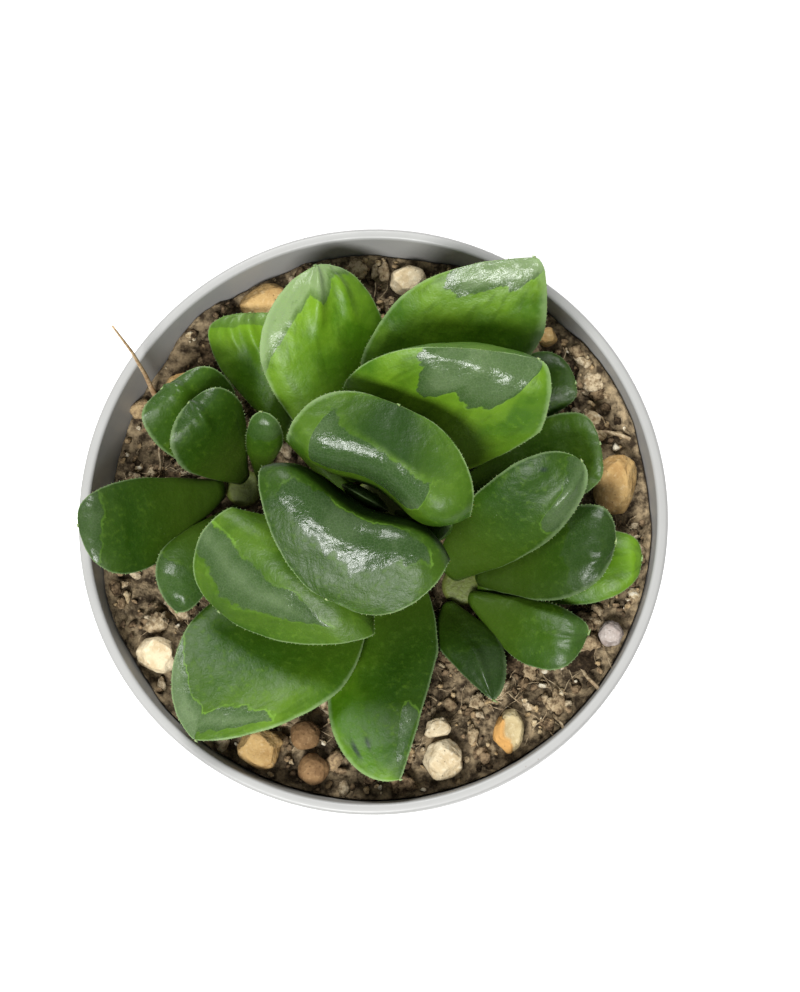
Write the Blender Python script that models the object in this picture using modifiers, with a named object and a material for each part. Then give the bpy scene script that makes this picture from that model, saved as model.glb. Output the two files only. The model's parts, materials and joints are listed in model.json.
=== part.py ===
"""A potted haworthia: a big rosette and two offsets in an 8 cm nursery pot.

Lengths in the tables are millimetres and angles are degrees. The object is built in metres, with +Z up
and its origin at the middle of the pot's flat bottom.
"""
import math
from dataclasses import dataclass

import bmesh
import bpy
from mathutils import Matrix, Vector, noise
from mathutils.bvhtree import BVHTree

MM = 0.001
MERGE = 0.00001
SEAT_GAP = 0.3

# The pot: 80 mm across its rim and 70 mm high, moulded in thin plastic.
RIM_RADIUS = 40.0
POT_HEIGHT = 70.0
RIM_INNER_RADIUS = 38.5
COLLAR_HEIGHT = 9.0
COLLAR_STEP = 0.8
WALL_TOP_INNER_RADIUS = 38.0
BASE_RADIUS = 29.0
WALL = 1.2
FLOOR = 1.6
EDGE_ROUNDING = 0.5
TURNED_STEPS = 56
DRAIN_HOLES = 6
DRAIN_HOLE_RADIUS = 2.5
DRAIN_CIRCLE_RADIUS = 17.0

# The potting mix: its middle lies about 10 mm under the rim, and it is banked up against the wall to
# these heights, by the compass angle from +X.
SOIL_BANK = ((0, 65.5), (30, 66.0), (80, 63.5), (110, 63.9), (130, 65.5), (150, 61.5), (170, 60.0),
             (195, 66.0), (215, 66.5), (250, 65.0), (300, 64.5), (360, 65.5))
BANK_POWER = 5
SOIL_EDGE = 59.4
SOIL_HEAP = 0.8
SOIL_RINGS = 20
COARSE_RELIEF = 0.9
FINE_RELIEF = 0.6
STONE_BED = 59.9
BED_MARGIN = 1.5
BED_SLOPE = 2.0

# The stems stand in plain holes in the mix.
STEM_FOOT = 52.0
STEM_SIDES = 16

# A leaf is a ball of rings pulled out from its foot to its tip.
LEAF_SIDES = 14
LEAF_RINGS = 11
RING_CROWDING = 1.35
HEEL_REACH = 0.25
PRESS_GAP = 0.42
PRESS_ROUNDS = 8
SOIL_CLEARANCE = 0.9


@dataclass
class Leaf:
    """One leaf: where it grows from, its heading and lean, its length and width, and its form.

    heading is the compass angle of its tip from +X and lean its rise from level. roll turns its face
    about its length and slant sets its widest line askew. wide_at is where that line crosses, and sway
    and rise move the line's middle sideways and towards the face. front and back are the thickness on
    the face and under it. round_left and round_right say how square each side runs to the tip, cup how
    far the margins stand up, dip how deep the face is folded in, and lobe how much thicker its right
    half is. knee is how sharp its bend is, and corner how suddenly it stops widening. base and heel are
    the foot's width share and thickness.
    """

    name: str
    foot: tuple
    heading: float
    lean: float
    length: float
    width: float
    roll: float = 0.0
    slant: float = 0.0
    wide_at: float = 0.7
    sway: float = 0.0
    rise: float = 0.0
    front: float = 1.0
    back: float = 3.0
    round_left: float = 2.0
    round_right: float = 2.0
    cup: float = 0.0
    dip: float = 0.0
    lobe: float = 0.0
    flatness: float = 3.0
    knee: float = 1.0
    corner: float = 0.0
    base: float = 0.25
    heel: float = 1.0


# Firm leaves come first: each later leaf lies pressed against those before it.
LEAVES = (
    Leaf("leaf_upper_right_inner", (1.5, 5.5, 69), 59, 73, 23, 25.5, roll=-8, wide_at=0.78,
         sway=1, rise=8, front=3, back=8, round_left=3.2, round_right=3, dip=3, lobe=0.5,
         flatness=4, knee=1.6, corner=0.3, heel=1.5),
    Leaf("leaf_lower_left_inner", (-0.5, -1.5, 69), 249, 53, 20, 27, roll=7, wide_at=0.71,
         sway=1.5, rise=10, front=3, back=8, round_left=3, round_right=2.2, dip=3, flatness=4,
         knee=1.6, corner=0.3, heel=1.5),
    Leaf("leaf_upper_right_middle", (4.8, 5.6, 66), 33, 48, 32, 24, roll=-37, slant=0.37,
         wide_at=0.63, sway=-6, rise=2, front=2, back=7, round_left=2.6, round_right=1.3,
         cup=1.5, heel=1.5),
    Leaf("leaf_lower_left_middle", (-2, -3.8, 66), 208, 26, 22.5, 23.5, roll=-5, slant=0.37,
         wide_at=0.58, sway=-2, rise=9, front=1.5, back=8, round_left=2.4, round_right=2.4,
         knee=1.6, corner=1, heel=1.5),
    Leaf("leaf_upper_right_outer", (4.4, 6, 62.5), 55, 37, 39, 20, roll=-18, slant=0.57,
         wide_at=0.62, sway=-4, front=1.5, back=7, round_left=2.8, round_right=1.2, cup=1,
         heel=1.5),
    Leaf("leaf_lower_left_outer", (-2.7, -3.4, 62.5), 233, 19, 35.5, 22, roll=-7, slant=0.19,
         wide_at=0.59, sway=-0.5, rise=1, back=6, round_left=1.35, round_right=1.5, cup=1,
         heel=1.5),
    Leaf("leaf_front", (4, -5.4, 62.5), 270, 18, 31.5, 15, roll=-6, slant=0.34, wide_at=0.52,
         sway=2.5, rise=-0.5, back=5, round_left=1.2, round_right=2.1, cup=1, heel=1.5),
    Leaf("leaf_right", (10.2, -6.4, 63.2), 34, 36, 27, 11.5, roll=-25, wide_at=0.59, sway=-1,
         rise=2, front=1.5, back=5, round_left=2.6, round_right=1.8, cup=1, base=0.4, heel=1.2),
    Leaf("leaf_back", (-1.4, 6.4, 62.9), 102, 25, 30.5, 18, roll=-16, wide_at=0.64, sway=-1.5,
         front=2, back=4.5, round_left=1.5, round_right=1.6, heel=1.5),
    Leaf("leaf_back_low", (-4, 4.6, 62), 118, 12, 28, 11, roll=6, slant=-0.46, wide_at=0.74,
         sway=-2, rise=-0.5, back=3.5, round_left=2.6, round_right=2.6, corner=0.5),
    Leaf("leaf_right_low", (7.4, 1.4, 62.2), 18, 24, 27, 12, roll=3, slant=-0.11,
         wide_at=0.74, sway=-0.5, rise=-1, back=4, round_left=1.6, corner=0.6),
    Leaf("leaf_far_right_low", (6.6, 3.9, 62), 34, 14, 26.5, 9, slant=-0.4, wide_at=0.74,
         sway=-3, rise=-1, round_left=1.6, corner=0.5),
    Leaf("left_pup_leaf_inner", (-18.5, 6.5, 64.5), 123, 60, 18, 11.5, roll=-10, slant=0.1,
         wide_at=0.74, sway=-0.5, rise=2),
    Leaf("left_pup_leaf_back", (-20, 7, 63), 128, 44, 17.5, 13, roll=-2, wide_at=0.74,
         sway=1, rise=1.5, front=0.5, back=3.5, round_left=2.2, round_right=2.2),
    Leaf("left_pup_leaf_side", (-21.5, 4.8, 63), 201, 37, 23, 12.5, roll=8, slant=-0.16,
         wide_at=0.7, sway=-2, rise=1, back=4, round_left=1.8, round_right=1.8),
    Leaf("left_pup_leaf_front", (-19.2, 1.8, 63.2), 245, 28, 18.5, 8.5, roll=6, wide_at=0.7,
         sway=1.5, rise=2, back=4, round_left=1.5, round_right=1.4),
    Leaf("left_pup_leaf_right", (-16, 7, 63), 75, 63, 14.5, 5, roll=-13, slant=0.11,
         wide_at=0.66, sway=0.5, rise=1, back=2),
    Leaf("right_pup_leaf_side", (14.6, -7.4, 63.5), 9, 32, 21.5, 12, roll=3, slant=-0.23,
         wide_at=0.69, rise=1.5, back=4, round_left=2.2, round_right=1.7),
    Leaf("right_pup_leaf_front_side", (13.5, -10.5, 63), 340, 23, 18, 9, roll=1,
         wide_at=0.66, sway=2, rise=0.5, back=3.5, round_left=1.6, round_right=2.6),
    Leaf("right_pup_leaf_front", (10.4, -11.5, 62.3), 294, 21, 15.5, 8, roll=10, slant=-0.38,
         wide_at=0.5, rise=1.5, round_left=1.6, round_right=1.3),
    Leaf("right_pup_leaf_under", (14.6, -8.8, 61.8), 7, 17, 23, 9.5, roll=4, slant=-0.21,
         wide_at=0.73, rise=0.5, front=0.8, back=2.5, round_left=1.6, round_right=1.6),
    Leaf("heart_leaf_left", (0, 2.2, 68.2), 240, 85, 14, 7, wide_at=0.6, front=0.8, back=1.2),
    Leaf("heart_leaf_right", (4, 0.2, 67.9), 333, 59, 15, 5, roll=5, front=1, back=1.5),
)


@dataclass
class Stem:
    """A short stem: the middle of its foot, its radius and the height of its top."""

    name: str
    middle: tuple
    radius: float
    top: float


STEMS = (
    Stem("main_stem", (1.5, 1.0), 5.0, 67.2),
    Stem("left_pup_stem", (-18.4, 5.2), 2.6, 62.6),
    Stem("right_pup_stem", (12.0, -8.6), 2.8, 62.3),
)


@dataclass
class Stone:
    """A stone on the mix: its middle, its size, its turn, how blocky it is and its colour."""

    name: str
    middle: tuple
    size: tuple
    turn: float
    block: float
    colour: tuple


OCHRE = (0.52, 0.30, 0.11)
CREAM = (0.66, 0.53, 0.36)
PELLET_BROWN = (0.33, 0.17, 0.09)
GREY_WHITE = (0.55, 0.47, 0.42)

STONES = (
    Stone("stone_ochre_back", (-15.0, 30.9), (7.2, 5.8, 3.4), 25, 0.6, OCHRE),
    Stone("stone_cream_back", (4.7, 34.0), (5.2, 4.4, 4.5), 0, 0.9, CREAM),
    Stone("stone_ochre_left", (-27.2, 18.9), (6.6, 4.6, 4.5), 40, 0.7, OCHRE),
    Stone("stone_cream_left", (-29.5, -18.3), (5.6, 4.6, 3.5), -20, 0.7, CREAM),
    Stone("stone_yellow_front", (-15.3, -31.1), (6.2, 5.4, 4.5), -26, 0.8, OCHRE),
    Stone("stone_pellet_inner", (-9.2, -29.3), (4.1, 4.0, 3.8), 0, 1.0, PELLET_BROWN),
    Stone("stone_pellet_outer", (-8.1, -33.9), (4.2, 4.2, 3.8), 30, 1.0, PELLET_BROWN),
    Stone("stone_cream_inner", (8.7, -28.3), (3.8, 2.7, 2.8), 15, 0.8, CREAM),
    Stone("stone_cream_front", (9.5, -32.5), (5.5, 5.2, 4.2), 35, 0.8, CREAM),
    Stone("stone_tan_front", (18.4, -28.7), (4.0, 6.0, 3.8), -12, 0.8, OCHRE),
    Stone("stone_grey_right", (32.3, -15.7), (3.4, 3.6, 3.4), 0, 1.0, GREY_WHITE),
    Stone("stone_ochre_right", (33.1, 5.1), (5.6, 9.0, 4.5), -8, 0.8, OCHRE),
    Stone("stone_orange_right", (24.1, 25.5), (2.7, 2.6, 2.4), 20, 0.9, OCHRE),
)

# A dry grass stalk stands in the mix and leans out over the rim.
STRAW_POINTS = ((-31.1, 18.5, 56.5), (-31.1, 18.6, 62.8), (-31.1, 19.8, 70.0),
                (-31.4, 21.1, 79.0), (-32.4, 22.6, 88.0))
STRAW_RADIUS = 0.45
STRAW_TIP_SHARE = 0.6
STRAW_HOLE_DEPTH = 3.4


def metres(values):
    """A vector in metres from values in millimetres."""
    return Vector([value * MM for value in values])


def clear_scene():
    """Remove every object of the opened scene."""
    for thing in list(bpy.data.objects):
        bpy.data.objects.remove(thing, do_unlink=True)


def new_collection(name):
    """Add a collection to the scene."""
    collection = bpy.data.collections.new(name)
    bpy.context.scene.collection.children.link(collection)
    return collection


def add_object(name, data, collection):
    """Link a mesh or curve as a named object."""
    thing = bpy.data.objects.new(name, data)
    collection.objects.link(thing)
    return thing


def mesh_from(bm, name, smooth=True):
    """Turn a closed bmesh into a mesh whose faces point out."""
    bmesh.ops.recalc_face_normals(bm, faces=bm.faces)
    mesh = bpy.data.meshes.new(name)
    bm.to_mesh(mesh)
    bm.free()
    if smooth:
        mesh.shade_smooth()
        mesh.set_sharp_from_angle(angle=math.radians(50))
    return mesh


def finish(thing, colour, roughness):
    """Give an object a plain material of its own."""
    material = bpy.data.materials.new(thing.name)
    material.use_nodes = True
    shader = material.node_tree.nodes["Principled BSDF"]
    shader.inputs["Base Color"].default_value = (*colour, 1.0)
    shader.inputs["Roughness"].default_value = roughness
    shader.inputs["Metallic"].default_value = 0.0
    thing.data.materials.append(material)


def cut(thing, cutter):
    """Cut one object with another by an exact Boolean."""
    modifier = thing.modifiers.new("cut", "BOOLEAN")
    modifier.operation = "DIFFERENCE"
    modifier.solver = "EXACT"
    modifier.object = cutter


def hide_cutter(cutter):
    """Mark a cutter as a guide that is no part of the object."""
    cutter.hide_render = True
    cutter.display_type = "WIRE"


def turned(name, profile, collection):
    """A turned body: a profile of (radius, height) pairs swept round the Z axis."""
    mesh = bpy.data.meshes.new(name)
    points = [(radius * MM, 0.0, height * MM) for radius, height in profile]
    links = [(index, index + 1) for index in range(len(points) - 1)]
    mesh.from_pydata(points, links, [])
    thing = add_object(name, mesh, collection)
    screw = thing.modifiers.new("turn", "SCREW")
    screw.axis = "Z"
    screw.steps = TURNED_STEPS
    screw.render_steps = TURNED_STEPS
    screw.use_merge_vertices = True
    screw.merge_threshold = MERGE
    screw.use_smooth_shade = True
    return thing


def wall_radius(height):
    """The pot's inner radius at a height."""
    knee = POT_HEIGHT - COLLAR_HEIGHT
    foot = BASE_RADIUS - WALL
    if height <= knee:
        return foot + (WALL_TOP_INNER_RADIUS - foot) * (height - FLOOR) / (knee - FLOOR)
    share = (height - knee) / COLLAR_HEIGHT
    return WALL_TOP_INNER_RADIUS + (RIM_INNER_RADIUS - WALL_TOP_INNER_RADIUS) * share


def make_pot(parts, cutters):
    """The pot, with its collar and the drain holes in its floor."""
    knee = POT_HEIGHT - COLLAR_HEIGHT
    soft = EDGE_ROUNDING
    profile = (
        (0.0, FLOOR),
        (BASE_RADIUS - WALL, FLOOR),
        (WALL_TOP_INNER_RADIUS, knee),
        (RIM_INNER_RADIUS, POT_HEIGHT - soft),
        (RIM_INNER_RADIUS + soft, POT_HEIGHT),
        (RIM_RADIUS - soft, POT_HEIGHT),
        (RIM_RADIUS, POT_HEIGHT - soft),
        (RIM_RADIUS, knee + soft),
        (RIM_RADIUS - COLLAR_STEP, knee),
        (BASE_RADIUS, soft),
        (BASE_RADIUS - soft, 0.0),
        (0.0, 0.0),
    )
    pot = turned("pot", profile, parts)
    bm = bmesh.new()
    for index in range(DRAIN_HOLES):
        angle = 2 * math.pi * (index + 0.5) / DRAIN_HOLES
        place = metres((DRAIN_CIRCLE_RADIUS * math.cos(angle),
                        DRAIN_CIRCLE_RADIUS * math.sin(angle), FLOOR / 2))
        bmesh.ops.create_cone(bm, cap_ends=True, segments=12, depth=4 * FLOOR * MM,
                              radius1=DRAIN_HOLE_RADIUS * MM, radius2=DRAIN_HOLE_RADIUS * MM,
                              matrix=Matrix.Translation(place))
    cutter = add_object("drain_cutter", mesh_from(bm, "drain_cutter", smooth=False), cutters)
    hide_cutter(cutter)
    cut(pot, cutter)
    finish(pot, (0.56, 0.57, 0.58), 0.38)


def bank_rise(x, y):
    """How far the mix is banked up at a place, in millimetres."""
    angle = math.degrees(math.atan2(y, x)) % 360
    share = min(math.hypot(x, y) / WALL_TOP_INNER_RADIUS, 1.0)
    for (one, low), (two, high) in zip(SOIL_BANK, SOIL_BANK[1:]):
        if one <= angle <= two:
            top = low + (high - low) * (angle - one) / (two - one)
            return (top - SOIL_EDGE) * share ** BANK_POWER
    raise ValueError(f"no bank at {angle} degrees")


def bed_height(stone):
    """The height of the flat bed under a stone."""
    return STONE_BED + bank_rise(*stone.middle)


def soil_height(x, y):
    """The height of the mix at a place, in millimetres."""
    radius = math.hypot(x, y)
    share = min(radius / WALL_TOP_INNER_RADIUS, 1.0)
    coarse = noise.noise(Vector((x * 0.22, y * 0.22, 3.1)))
    fine = noise.noise(Vector((x * 0.55, y * 0.55, 7.7)))
    relief = (COARSE_RELIEF * coarse + FINE_RELIEF * fine) * (1 - share ** 8)
    height = SOIL_EDGE + SOIL_HEAP * (1 - share * share) + relief + bank_rise(x, y)
    for stone in STONES:
        reach = max(stone.size[:2]) / 2 + BED_MARGIN
        away = math.hypot(x - stone.middle[0], y - stone.middle[1])
        blend = min(max((away - reach) / BED_SLOPE, 0.0), 1.0)
        bed = bed_height(stone)
        height = bed + (height - bed) * blend
    return height


def seat_height(stone):
    """The height of a stone's underside, just above the highest mix beneath it."""
    reach = max(stone.size[:2]) / 2
    places = [stone.middle]
    for step in range(12):
        turn = math.tau * step / 12
        places.append((stone.middle[0] + reach * math.cos(turn), stone.middle[1] + reach * math.sin(turn)))
    return max(soil_height(*place) for place in places) + SEAT_GAP


def make_soil(parts, cutters):
    """The mix that fills the pot, with its uneven surface and a plain hole for each stem."""
    outer = [(0.0, FLOOR + SEAT_GAP), (BASE_RADIUS - WALL - SEAT_GAP, FLOOR + SEAT_GAP)]
    outer.append((wall_radius(SOIL_EDGE) - SEAT_GAP, SOIL_EDGE))
    rim = outer[-1][0]
    top = [(rim * (1 - ring / SOIL_RINGS), SOIL_EDGE) for ring in range(1, SOIL_RINGS + 1)]
    body = turned("soil_body", list(reversed(outer + top)), parts)
    depsgraph = bpy.context.evaluated_depsgraph_get()
    mesh = bpy.data.meshes.new_from_object(body.evaluated_get(depsgraph))
    bpy.data.objects.remove(body, do_unlink=True)
    bm = bmesh.new()
    bm.from_mesh(mesh)
    bmesh.ops.remove_doubles(bm, verts=bm.verts, dist=MERGE)
    bmesh.ops.triangulate(bm, faces=bm.faces)
    for vert in bm.verts:
        if vert.co.z > (SOIL_EDGE - 1) * MM:
            x, y = vert.co.x / MM, vert.co.y / MM
            out = WALL_TOP_INNER_RADIUS / max(math.hypot(x, y), 0.01)
            stretch = (wall_radius(soil_height(x * out, y * out)) - SEAT_GAP) / rim
            vert.co = metres((x * stretch, y * stretch, soil_height(x * stretch, y * stretch)))
    soil = add_object("soil", mesh_from(bm, "soil"), parts)
    cuts = [(stem.middle, stem.radius + SEAT_GAP, STEM_FOOT - SEAT_GAP) for stem in STEMS]
    straw_foot = STRAW_POINTS[0]
    cuts.append((straw_foot[:2], STRAW_RADIUS + SEAT_GAP, straw_foot[2] - SEAT_GAP))
    bm = bmesh.new()
    for middle, radius, foot in cuts:
        depth = POT_HEIGHT - foot
        place = metres((*middle, foot + depth / 2))
        bmesh.ops.create_cone(bm, cap_ends=True, segments=STEM_SIDES, depth=depth * MM,
                              radius1=radius * MM, radius2=radius * MM,
                              matrix=Matrix.Translation(place))
    cutter = add_object("soil_cutter", mesh_from(bm, "soil_cutter", smooth=False), cutters)
    hide_cutter(cutter)
    cut(soil, cutter)
    finish(soil, (0.12, 0.075, 0.045), 0.95)


def make_stem(stem, parts):
    """A short round stem with a rounded top; returns its bmesh copy for pressing leaves on."""
    depth = stem.top - STEM_FOOT
    bm = bmesh.new()
    place = metres((*stem.middle, STEM_FOOT + depth / 2))
    bmesh.ops.create_cone(bm, cap_ends=True, segments=STEM_SIDES, depth=depth * MM,
                          radius1=stem.radius * MM, radius2=stem.radius * MM,
                          matrix=Matrix.Translation(place))
    rim = [edge for edge in bm.edges
           if all(vert.co.z > (stem.top - 0.1) * MM for vert in edge.verts)]
    bmesh.ops.bevel(bm, geom=rim, offset=stem.radius * 0.25 * MM, segments=2, profile=0.5,
                    affect="EDGES", material=-1)
    firm = bm.copy()
    thing = add_object(stem.name, mesh_from(bm, stem.name), parts)
    finish(thing, (0.35, 0.40, 0.20), 0.7)
    return firm


def leaf_axes(leaf):
    """The leaf's own directions: along it, to its right and out of its face."""
    heading, lean, roll = (math.radians(v) for v in (leaf.heading, leaf.lean, leaf.roll))
    along = Vector((math.cos(lean) * math.cos(heading), math.cos(lean) * math.sin(heading),
                    math.sin(lean)))
    level = Vector((math.sin(heading), -math.cos(heading), 0.0))
    up = level.cross(along)
    side = level * math.cos(roll) + up * math.sin(roll)
    face = up * math.cos(roll) - level * math.sin(roll)
    return along, side, face


def bent(share, middle, end, weight):
    """A rational curve from the origin through middle, half way, to end."""
    pull = [((2 + 2 * weight) * m - e) / (2 * weight) for m, e in zip(middle, end)]
    first = 2 * weight * share * (1 - share)
    second = share * share
    total = (1 - share) ** 2 + first + second
    return [(first * p + second * e) / total for p, e in zip(pull, end)]


def half_width(leaf, share, left):
    """The leaf's half width at a share of its length."""
    if share < 0.5:
        opening = math.sin(math.pi * share)
        opening += leaf.corner * (2 * share - opening)
        return leaf.width / 2 * (leaf.base + (1 - leaf.base) * opening)
    power = leaf.round_left if left else leaf.round_right
    return leaf.width / 2 * max(1 - (2 * share - 1) ** power, 0.0) ** (1 / power)


def leaf_point(leaf, angle, share):
    """A point of the leaf's surface, at an angle round it and a share of its length."""
    across = math.cos(angle)
    on_face = math.sin(angle) >= 0
    half = half_width(leaf, share, across < 0)
    middle = leaf.wide_at * leaf.length
    end = (leaf.length, 0.0)
    margin = bent(share, (middle, leaf.rise), end, leaf.knee)
    sideways = bent(share, (middle, leaf.sway), end, leaf.knee)[1]
    if on_face:
        front = leaf.front * (1 + leaf.lobe * across)
        edge = bent(share, (middle, leaf.rise + front), end, leaf.knee)
        fill = 1 - abs(across) ** leaf.flatness
        fold = leaf.dip * (1 - across * across) ** 3 * math.sin(math.pi * share)
    else:
        behind = middle - 0.08 * leaf.length
        edge = bent(share, (behind, leaf.rise - leaf.back), end, leaf.knee)
        fill = 1 - abs(across) ** 1.7
        fold = 0.0
    heel = leaf.heel * max(1 - share / HEEL_REACH, 0.0) ** 2
    forward = margin[0] + (edge[0] - margin[0]) * fill + leaf.slant * across * half
    lift = margin[1] + (edge[1] - margin[1]) * fill - fold
    lift += heel * (fill if on_face else -0.8 * fill)
    lift += leaf.cup * across * across * half / (leaf.width / 2)
    along, side, face = leaf_axes(leaf)
    offset = along * forward + side * (sideways + across * half) + face * lift
    return Vector(leaf.foot) + offset


def leaf_form(leaf):
    """A leaf as a closed bmesh: a ball's rings laid along the leaf, its poles at foot and tip."""
    bm = bmesh.new()
    bmesh.ops.create_uvsphere(bm, u_segments=LEAF_SIDES, v_segments=LEAF_RINGS, radius=1.0)
    foot_points = []
    for vert in bm.verts:
        angle = math.atan2(vert.co.y, vert.co.x)
        ring = round(math.acos(max(min(vert.co.z, 1.0), -1.0)) * LEAF_RINGS / math.pi)
        even = (LEAF_RINGS - 1 - ring) / (LEAF_RINGS - 1)
        if even < 0:
            foot_pole = vert
            continue
        share = 1 - (1 - even) ** RING_CROWDING
        vert.co = leaf_point(leaf, angle, share) * MM
        if ring == LEAF_RINGS - 1:
            foot_points.append(vert.co)
    foot_pole.co = sum(foot_points, Vector()) / len(foot_points)
    bmesh.ops.triangulate(bm, faces=bm.faces)
    bmesh.ops.recalc_face_normals(bm, faces=bm.faces)
    return bm


def inside(tree, point):
    """Whether a point lies inside a closed surface, by counting the walls above it."""
    direction = Vector((0.13, 0.07, 0.99)).normalized()
    start = point.copy()
    walls = 0
    while True:
        hit = tree.ray_cast(start, direction)[0]
        if hit is None:
            return walls % 2 == 1
        walls += 1
        start = hit + direction * (0.001 * MM)


def near(form, other, reach):
    """Whether two forms' boxes come within reach of each other."""
    for axis in range(3):
        one = [vert.co[axis] for vert in form.verts]
        two = [vert.co[axis] for vert in other.verts]
        if min(one) > max(two) + reach or min(two) > max(one) + reach:
            return False
    return True


def press(soft, firm):
    """Move the soft form's points until it lies just clear of the firm one."""
    gap = PRESS_GAP * MM
    if not near(soft, firm, gap):
        return
    for _ in range(PRESS_ROUNDS):
        moved = False
        tree = BVHTree.FromBMesh(firm)
        for vert in soft.verts:
            hit, normal, _, away = tree.find_nearest(vert.co)
            within = inside(tree, vert.co)
            if not within and away >= gap:
                continue
            outward = (hit - vert.co) if within else (vert.co - hit)
            outward = outward.normalized() if outward.length > MERGE else normal
            vert.co = hit + outward * gap * 1.02
            moved = True
        soft.normal_update()
        tree = BVHTree.FromBMesh(soft)
        soft.faces.ensure_lookup_table()
        for vert in firm.verts:
            hit, normal, index, away = tree.find_nearest(vert.co)
            within = inside(tree, vert.co)
            if not within and away >= gap * 0.9:
                continue
            inward = (vert.co - hit) if within else (hit - vert.co)
            inward = inward.normalized() if inward.length > MERGE else -normal
            shift = inward * (gap + away if within else gap - away)
            for corner in soft.faces[index].verts:
                corner.co += shift
            moved = True
        if not moved:
            return


def lift_off_soil(form):
    """Lift the points of a leaf that would dip into the mix."""
    for vert in form.verts:
        floor = (soil_height(vert.co.x / MM, vert.co.y / MM) + SOIL_CLEARANCE) * MM
        vert.co.z = max(vert.co.z, floor)


def make_leaves(stem_forms, parts):
    """Every leaf, each pressed against the stems and the firmer leaves."""
    forms = [leaf_form(leaf) for leaf in LEAVES]
    for _ in range(2):
        for index, form in enumerate(forms):
            lift_off_soil(form)
            for firm in stem_forms + forms[:index]:
                press(form, firm)
    for leaf, form in zip(LEAVES, forms):
        thing = add_object(leaf.name, mesh_from(form, leaf.name), parts)
        finish(thing, (0.07, 0.22, 0.035), 0.3)


def make_stone(stone, parts):
    """A rounded or blocky stone with a flat underside, resting on its bed in the mix."""
    bm = bmesh.new()
    bmesh.ops.create_icosphere(bm, subdivisions=2, radius=1.0)
    turn = Matrix.Rotation(math.radians(stone.turn), 3, "Z")
    bed = seat_height(stone)
    for vert in bm.verts:
        axis = vert.co.copy()
        bump = 1 + 0.10 * noise.noise(axis * 1.3 + Vector((*stone.middle, 0.0)))
        shape = [math.copysign(abs(v) ** stone.block, v) for v in axis]
        size = [half * v * bump / 2 for half, v in zip(stone.size, shape)]
        spot = turn @ Vector(size) + Vector((*stone.middle, bed + stone.size[2] * 0.36))
        spot.z = max(spot.z, bed)
        vert.co = spot * MM
    thing = add_object(stone.name, mesh_from(bm, stone.name), parts)
    finish(thing, stone.colour, 0.85)


def make_straw(parts):
    """The dry grass stalk, thinner towards its tip."""
    curve = bpy.data.curves.new("straw", "CURVE")
    curve.dimensions = "3D"
    curve.bevel_depth = STRAW_RADIUS * MM
    curve.bevel_resolution = 1
    curve.use_fill_caps = True
    spline = curve.splines.new("POLY")
    spline.points.add(len(STRAW_POINTS) - 1)
    for index, place in enumerate(STRAW_POINTS):
        spline.points[index].co = (*metres(place), 1.0)
        spline.points[index].radius = 1 - (1 - STRAW_TIP_SHARE) * index / (len(STRAW_POINTS) - 1)
    thing = add_object("straw", curve, parts)
    finish(thing, (0.48, 0.32, 0.17), 0.7)


def main():
    clear_scene()
    parts = new_collection("potted_haworthia")
    cutters = new_collection("cutters")
    make_pot(parts, cutters)
    make_soil(parts, cutters)
    stem_forms = [make_stem(stem, parts) for stem in STEMS]
    make_leaves(stem_forms, parts)
    for form in stem_forms:
        form.free()
    for stone in STONES:
        make_stone(stone, parts)
    make_straw(parts)


main()
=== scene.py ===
"""A potted haworthia: a big rosette and two offsets in a grey nursery pot.

Lengths in the tables are millimetres and angles are degrees. The model is built in metres, in the
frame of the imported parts, with +Z up and the origin at the middle of the pot's flat bottom.
"""
import json
import math
import random
from dataclasses import dataclass

import bmesh
import bpy
from bpy.props import FloatProperty, FloatVectorProperty, IntProperty, PointerProperty
from mathutils import Matrix, Vector, noise
from mathutils.bvhtree import BVHTree

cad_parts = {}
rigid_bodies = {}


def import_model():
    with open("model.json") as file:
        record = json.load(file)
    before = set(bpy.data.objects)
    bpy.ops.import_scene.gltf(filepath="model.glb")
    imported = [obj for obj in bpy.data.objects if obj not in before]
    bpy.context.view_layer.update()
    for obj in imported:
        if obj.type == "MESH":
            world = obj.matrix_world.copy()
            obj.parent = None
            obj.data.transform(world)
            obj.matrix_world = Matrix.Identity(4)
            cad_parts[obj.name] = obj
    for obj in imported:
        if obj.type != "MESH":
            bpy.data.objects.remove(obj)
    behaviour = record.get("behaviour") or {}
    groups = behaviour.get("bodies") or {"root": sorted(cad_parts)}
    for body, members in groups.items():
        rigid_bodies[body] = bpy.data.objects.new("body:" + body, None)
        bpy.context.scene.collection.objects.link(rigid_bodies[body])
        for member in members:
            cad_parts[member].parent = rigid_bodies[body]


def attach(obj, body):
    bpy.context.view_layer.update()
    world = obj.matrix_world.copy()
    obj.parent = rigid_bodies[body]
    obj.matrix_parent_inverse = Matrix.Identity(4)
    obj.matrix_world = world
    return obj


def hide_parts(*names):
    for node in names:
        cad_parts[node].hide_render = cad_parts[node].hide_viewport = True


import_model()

bl_info = {
    "name": "Potted haworthia",
    "version": (1, 0, 0),
    "blender": (4, 5, 0),
    "location": "3D View > Sidebar > Haworthia",
    "description": "Builds a haworthia with two offsets in a grey nursery pot",
    "category": "Add Mesh",
}

MM = 0.001
MERGE = 0.00001

# The pot's sizes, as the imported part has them. HEEL is the rounding of its foot, HOLLOW how far
# its bottom is raised inside the foot, and POT_SHARP the least angle of a sharp edge.
POT_HEIGHT = 70.0
RIM_RADIUS = 40.0
RIM_INNER_RADIUS = 38.5
COLLAR_FOOT = 61.0
COLLAR_STEP = 0.8
KNEE_RADIUS = 38.0
BASE_RADIUS = 29.0
WALL = 1.2
FLOOR = 1.6
HEEL = 1.2
HOLLOW = 0.35
POT_SHARP = 40
DRAIN_HOLES = 6
DRAIN_HOLE_RADIUS = 2.5
DRAIN_CIRCLE_RADIUS = 17.0

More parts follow.
